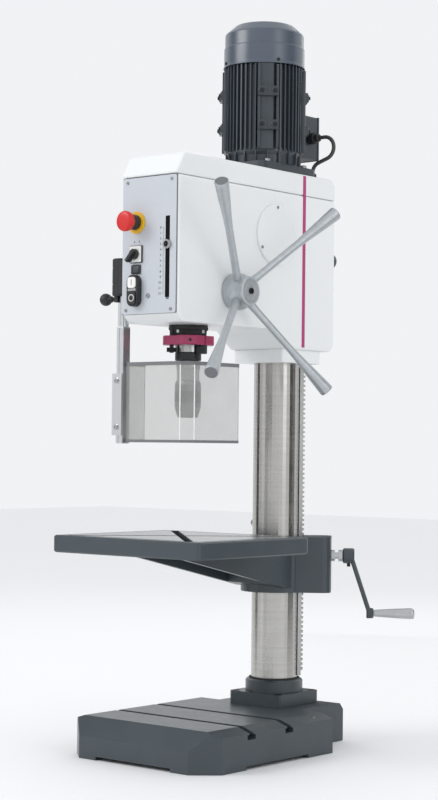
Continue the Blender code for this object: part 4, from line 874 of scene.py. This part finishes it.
bpy.ops.object.select_all(action="DESELECT")
for punch in punches:
    punch.select_set(True)
bpy.context.view_layer.objects.active = punches[0]
bpy.ops.object.join()
punch = bpy.context.object
bpy.ops.object.select_all(action="DESELECT")
bpy.context.view_layer.objects.active = cowl
holes = cowl.modifiers.new("air_holes", "BOOLEAN")
holes.object = punch
holes.operation = "DIFFERENCE"
holes.solver = "EXACT"
bpy.ops.object.modifier_apply(modifier="air_holes")
bpy.data.objects.remove(punch)
cowl_enamel = sprayed("cowl_enamel", (0.070, 0.088, 0.118), 0.32, drift=0.05, coat=0.4)
put(cowl, cowl_enamel, "frame", 40)
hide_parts("fan_cover")
for number in range(4):
    turn = radians(-31 + 90 * number)
    out = Vector((cos(turn), sin(turn), 0))
    socket_screw(f"cowl_screw_{number + 1}",
                 Vector((0, motor_y, cowl_foot + 0.0082)) + out * 0.0989, out,
                 0.0042, 0.0022, black_oxide, "frame")

# ------------------------------------------------------------------ terminal box
# The terminal box is cast aluminium, enamelled like the motor that it stands behind.  Its lid,
# on the outer side, is held by four screws.
box_low, box_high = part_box("terminal_box")
lid = block("terminal_lid", (box_low[0] - 0.0012, box_high[1] - 0.0008, box_low[2] - 0.0012),
            (box_high[0] + 0.0012, box_high[1] + 0.0052, box_high[2] + 0.0012), 0.0022, 3)
put(lid, motor_enamel, "frame")
box_middle = (box_low + box_high) / 2
lid_inset = 0.014
for number, (side_x, side_z) in enumerate(corners):
    socket_screw(f"lid_screw_{number + 1}",
                 (box_middle[0] + side_x * (box_high[0] - box_low[0] - lid_inset) / 2,
                  box_high[1] + 0.0051,
                  box_middle[2] + side_z * (box_high[2] - box_low[2] - lid_inset) / 2),
                 (0, 1, 0), 0.0036, 0.0020, bright_steel, "frame")

# ------------------------------------------------------------------ motor lead
# A round rubber-sheathed lead leaves the gland straight, loops round and goes down through a
# grommet into the cover.  Both ends are held in housings.
loop, dip = 0.0275, 0.0240
lead_exit = Vector((0.0763, 0.0657, 1.4990))
line = [lead_exit, Vector((0.0840, 0.0657, 1.4990))]
for angle in range(0, 161, 8):
    line.append(Vector((0.0925 + loop * sin(radians(angle)), 0.0650,
                        lead_exit.z - loop + loop * cos(radians(angle)))))
for angle in range(20, 91, 7):
    line.append(Vector((0.0560 + dip * (1 - sin(radians(angle))), 0.0642,
                        1.4130 + dip * cos(radians(angle)))))
lead_curve = bpy.data.curves.new("lead", "CURVE")
lead_curve.dimensions = "3D"
lead_curve.bevel_depth = 0.0048
lead_curve.bevel_resolution = 6
lead_curve.use_fill_caps = True
spline = lead_curve.splines.new("POLY")
spline.points.add(len(line) - 1)
for point, here in zip(spline.points, line):
    point.co = (*here, 1.0)
lead = bpy.data.objects.new("lead", lead_curve)
scene.collection.objects.link(lead)
lead_sheath = moulded("lead_sheath", (0.055, 0.054, 0.050), 0.48, 500.0, 0.12)
lead_curve.materials.append(lead_sheath)
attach(lead, "frame")
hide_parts("motor_lead")
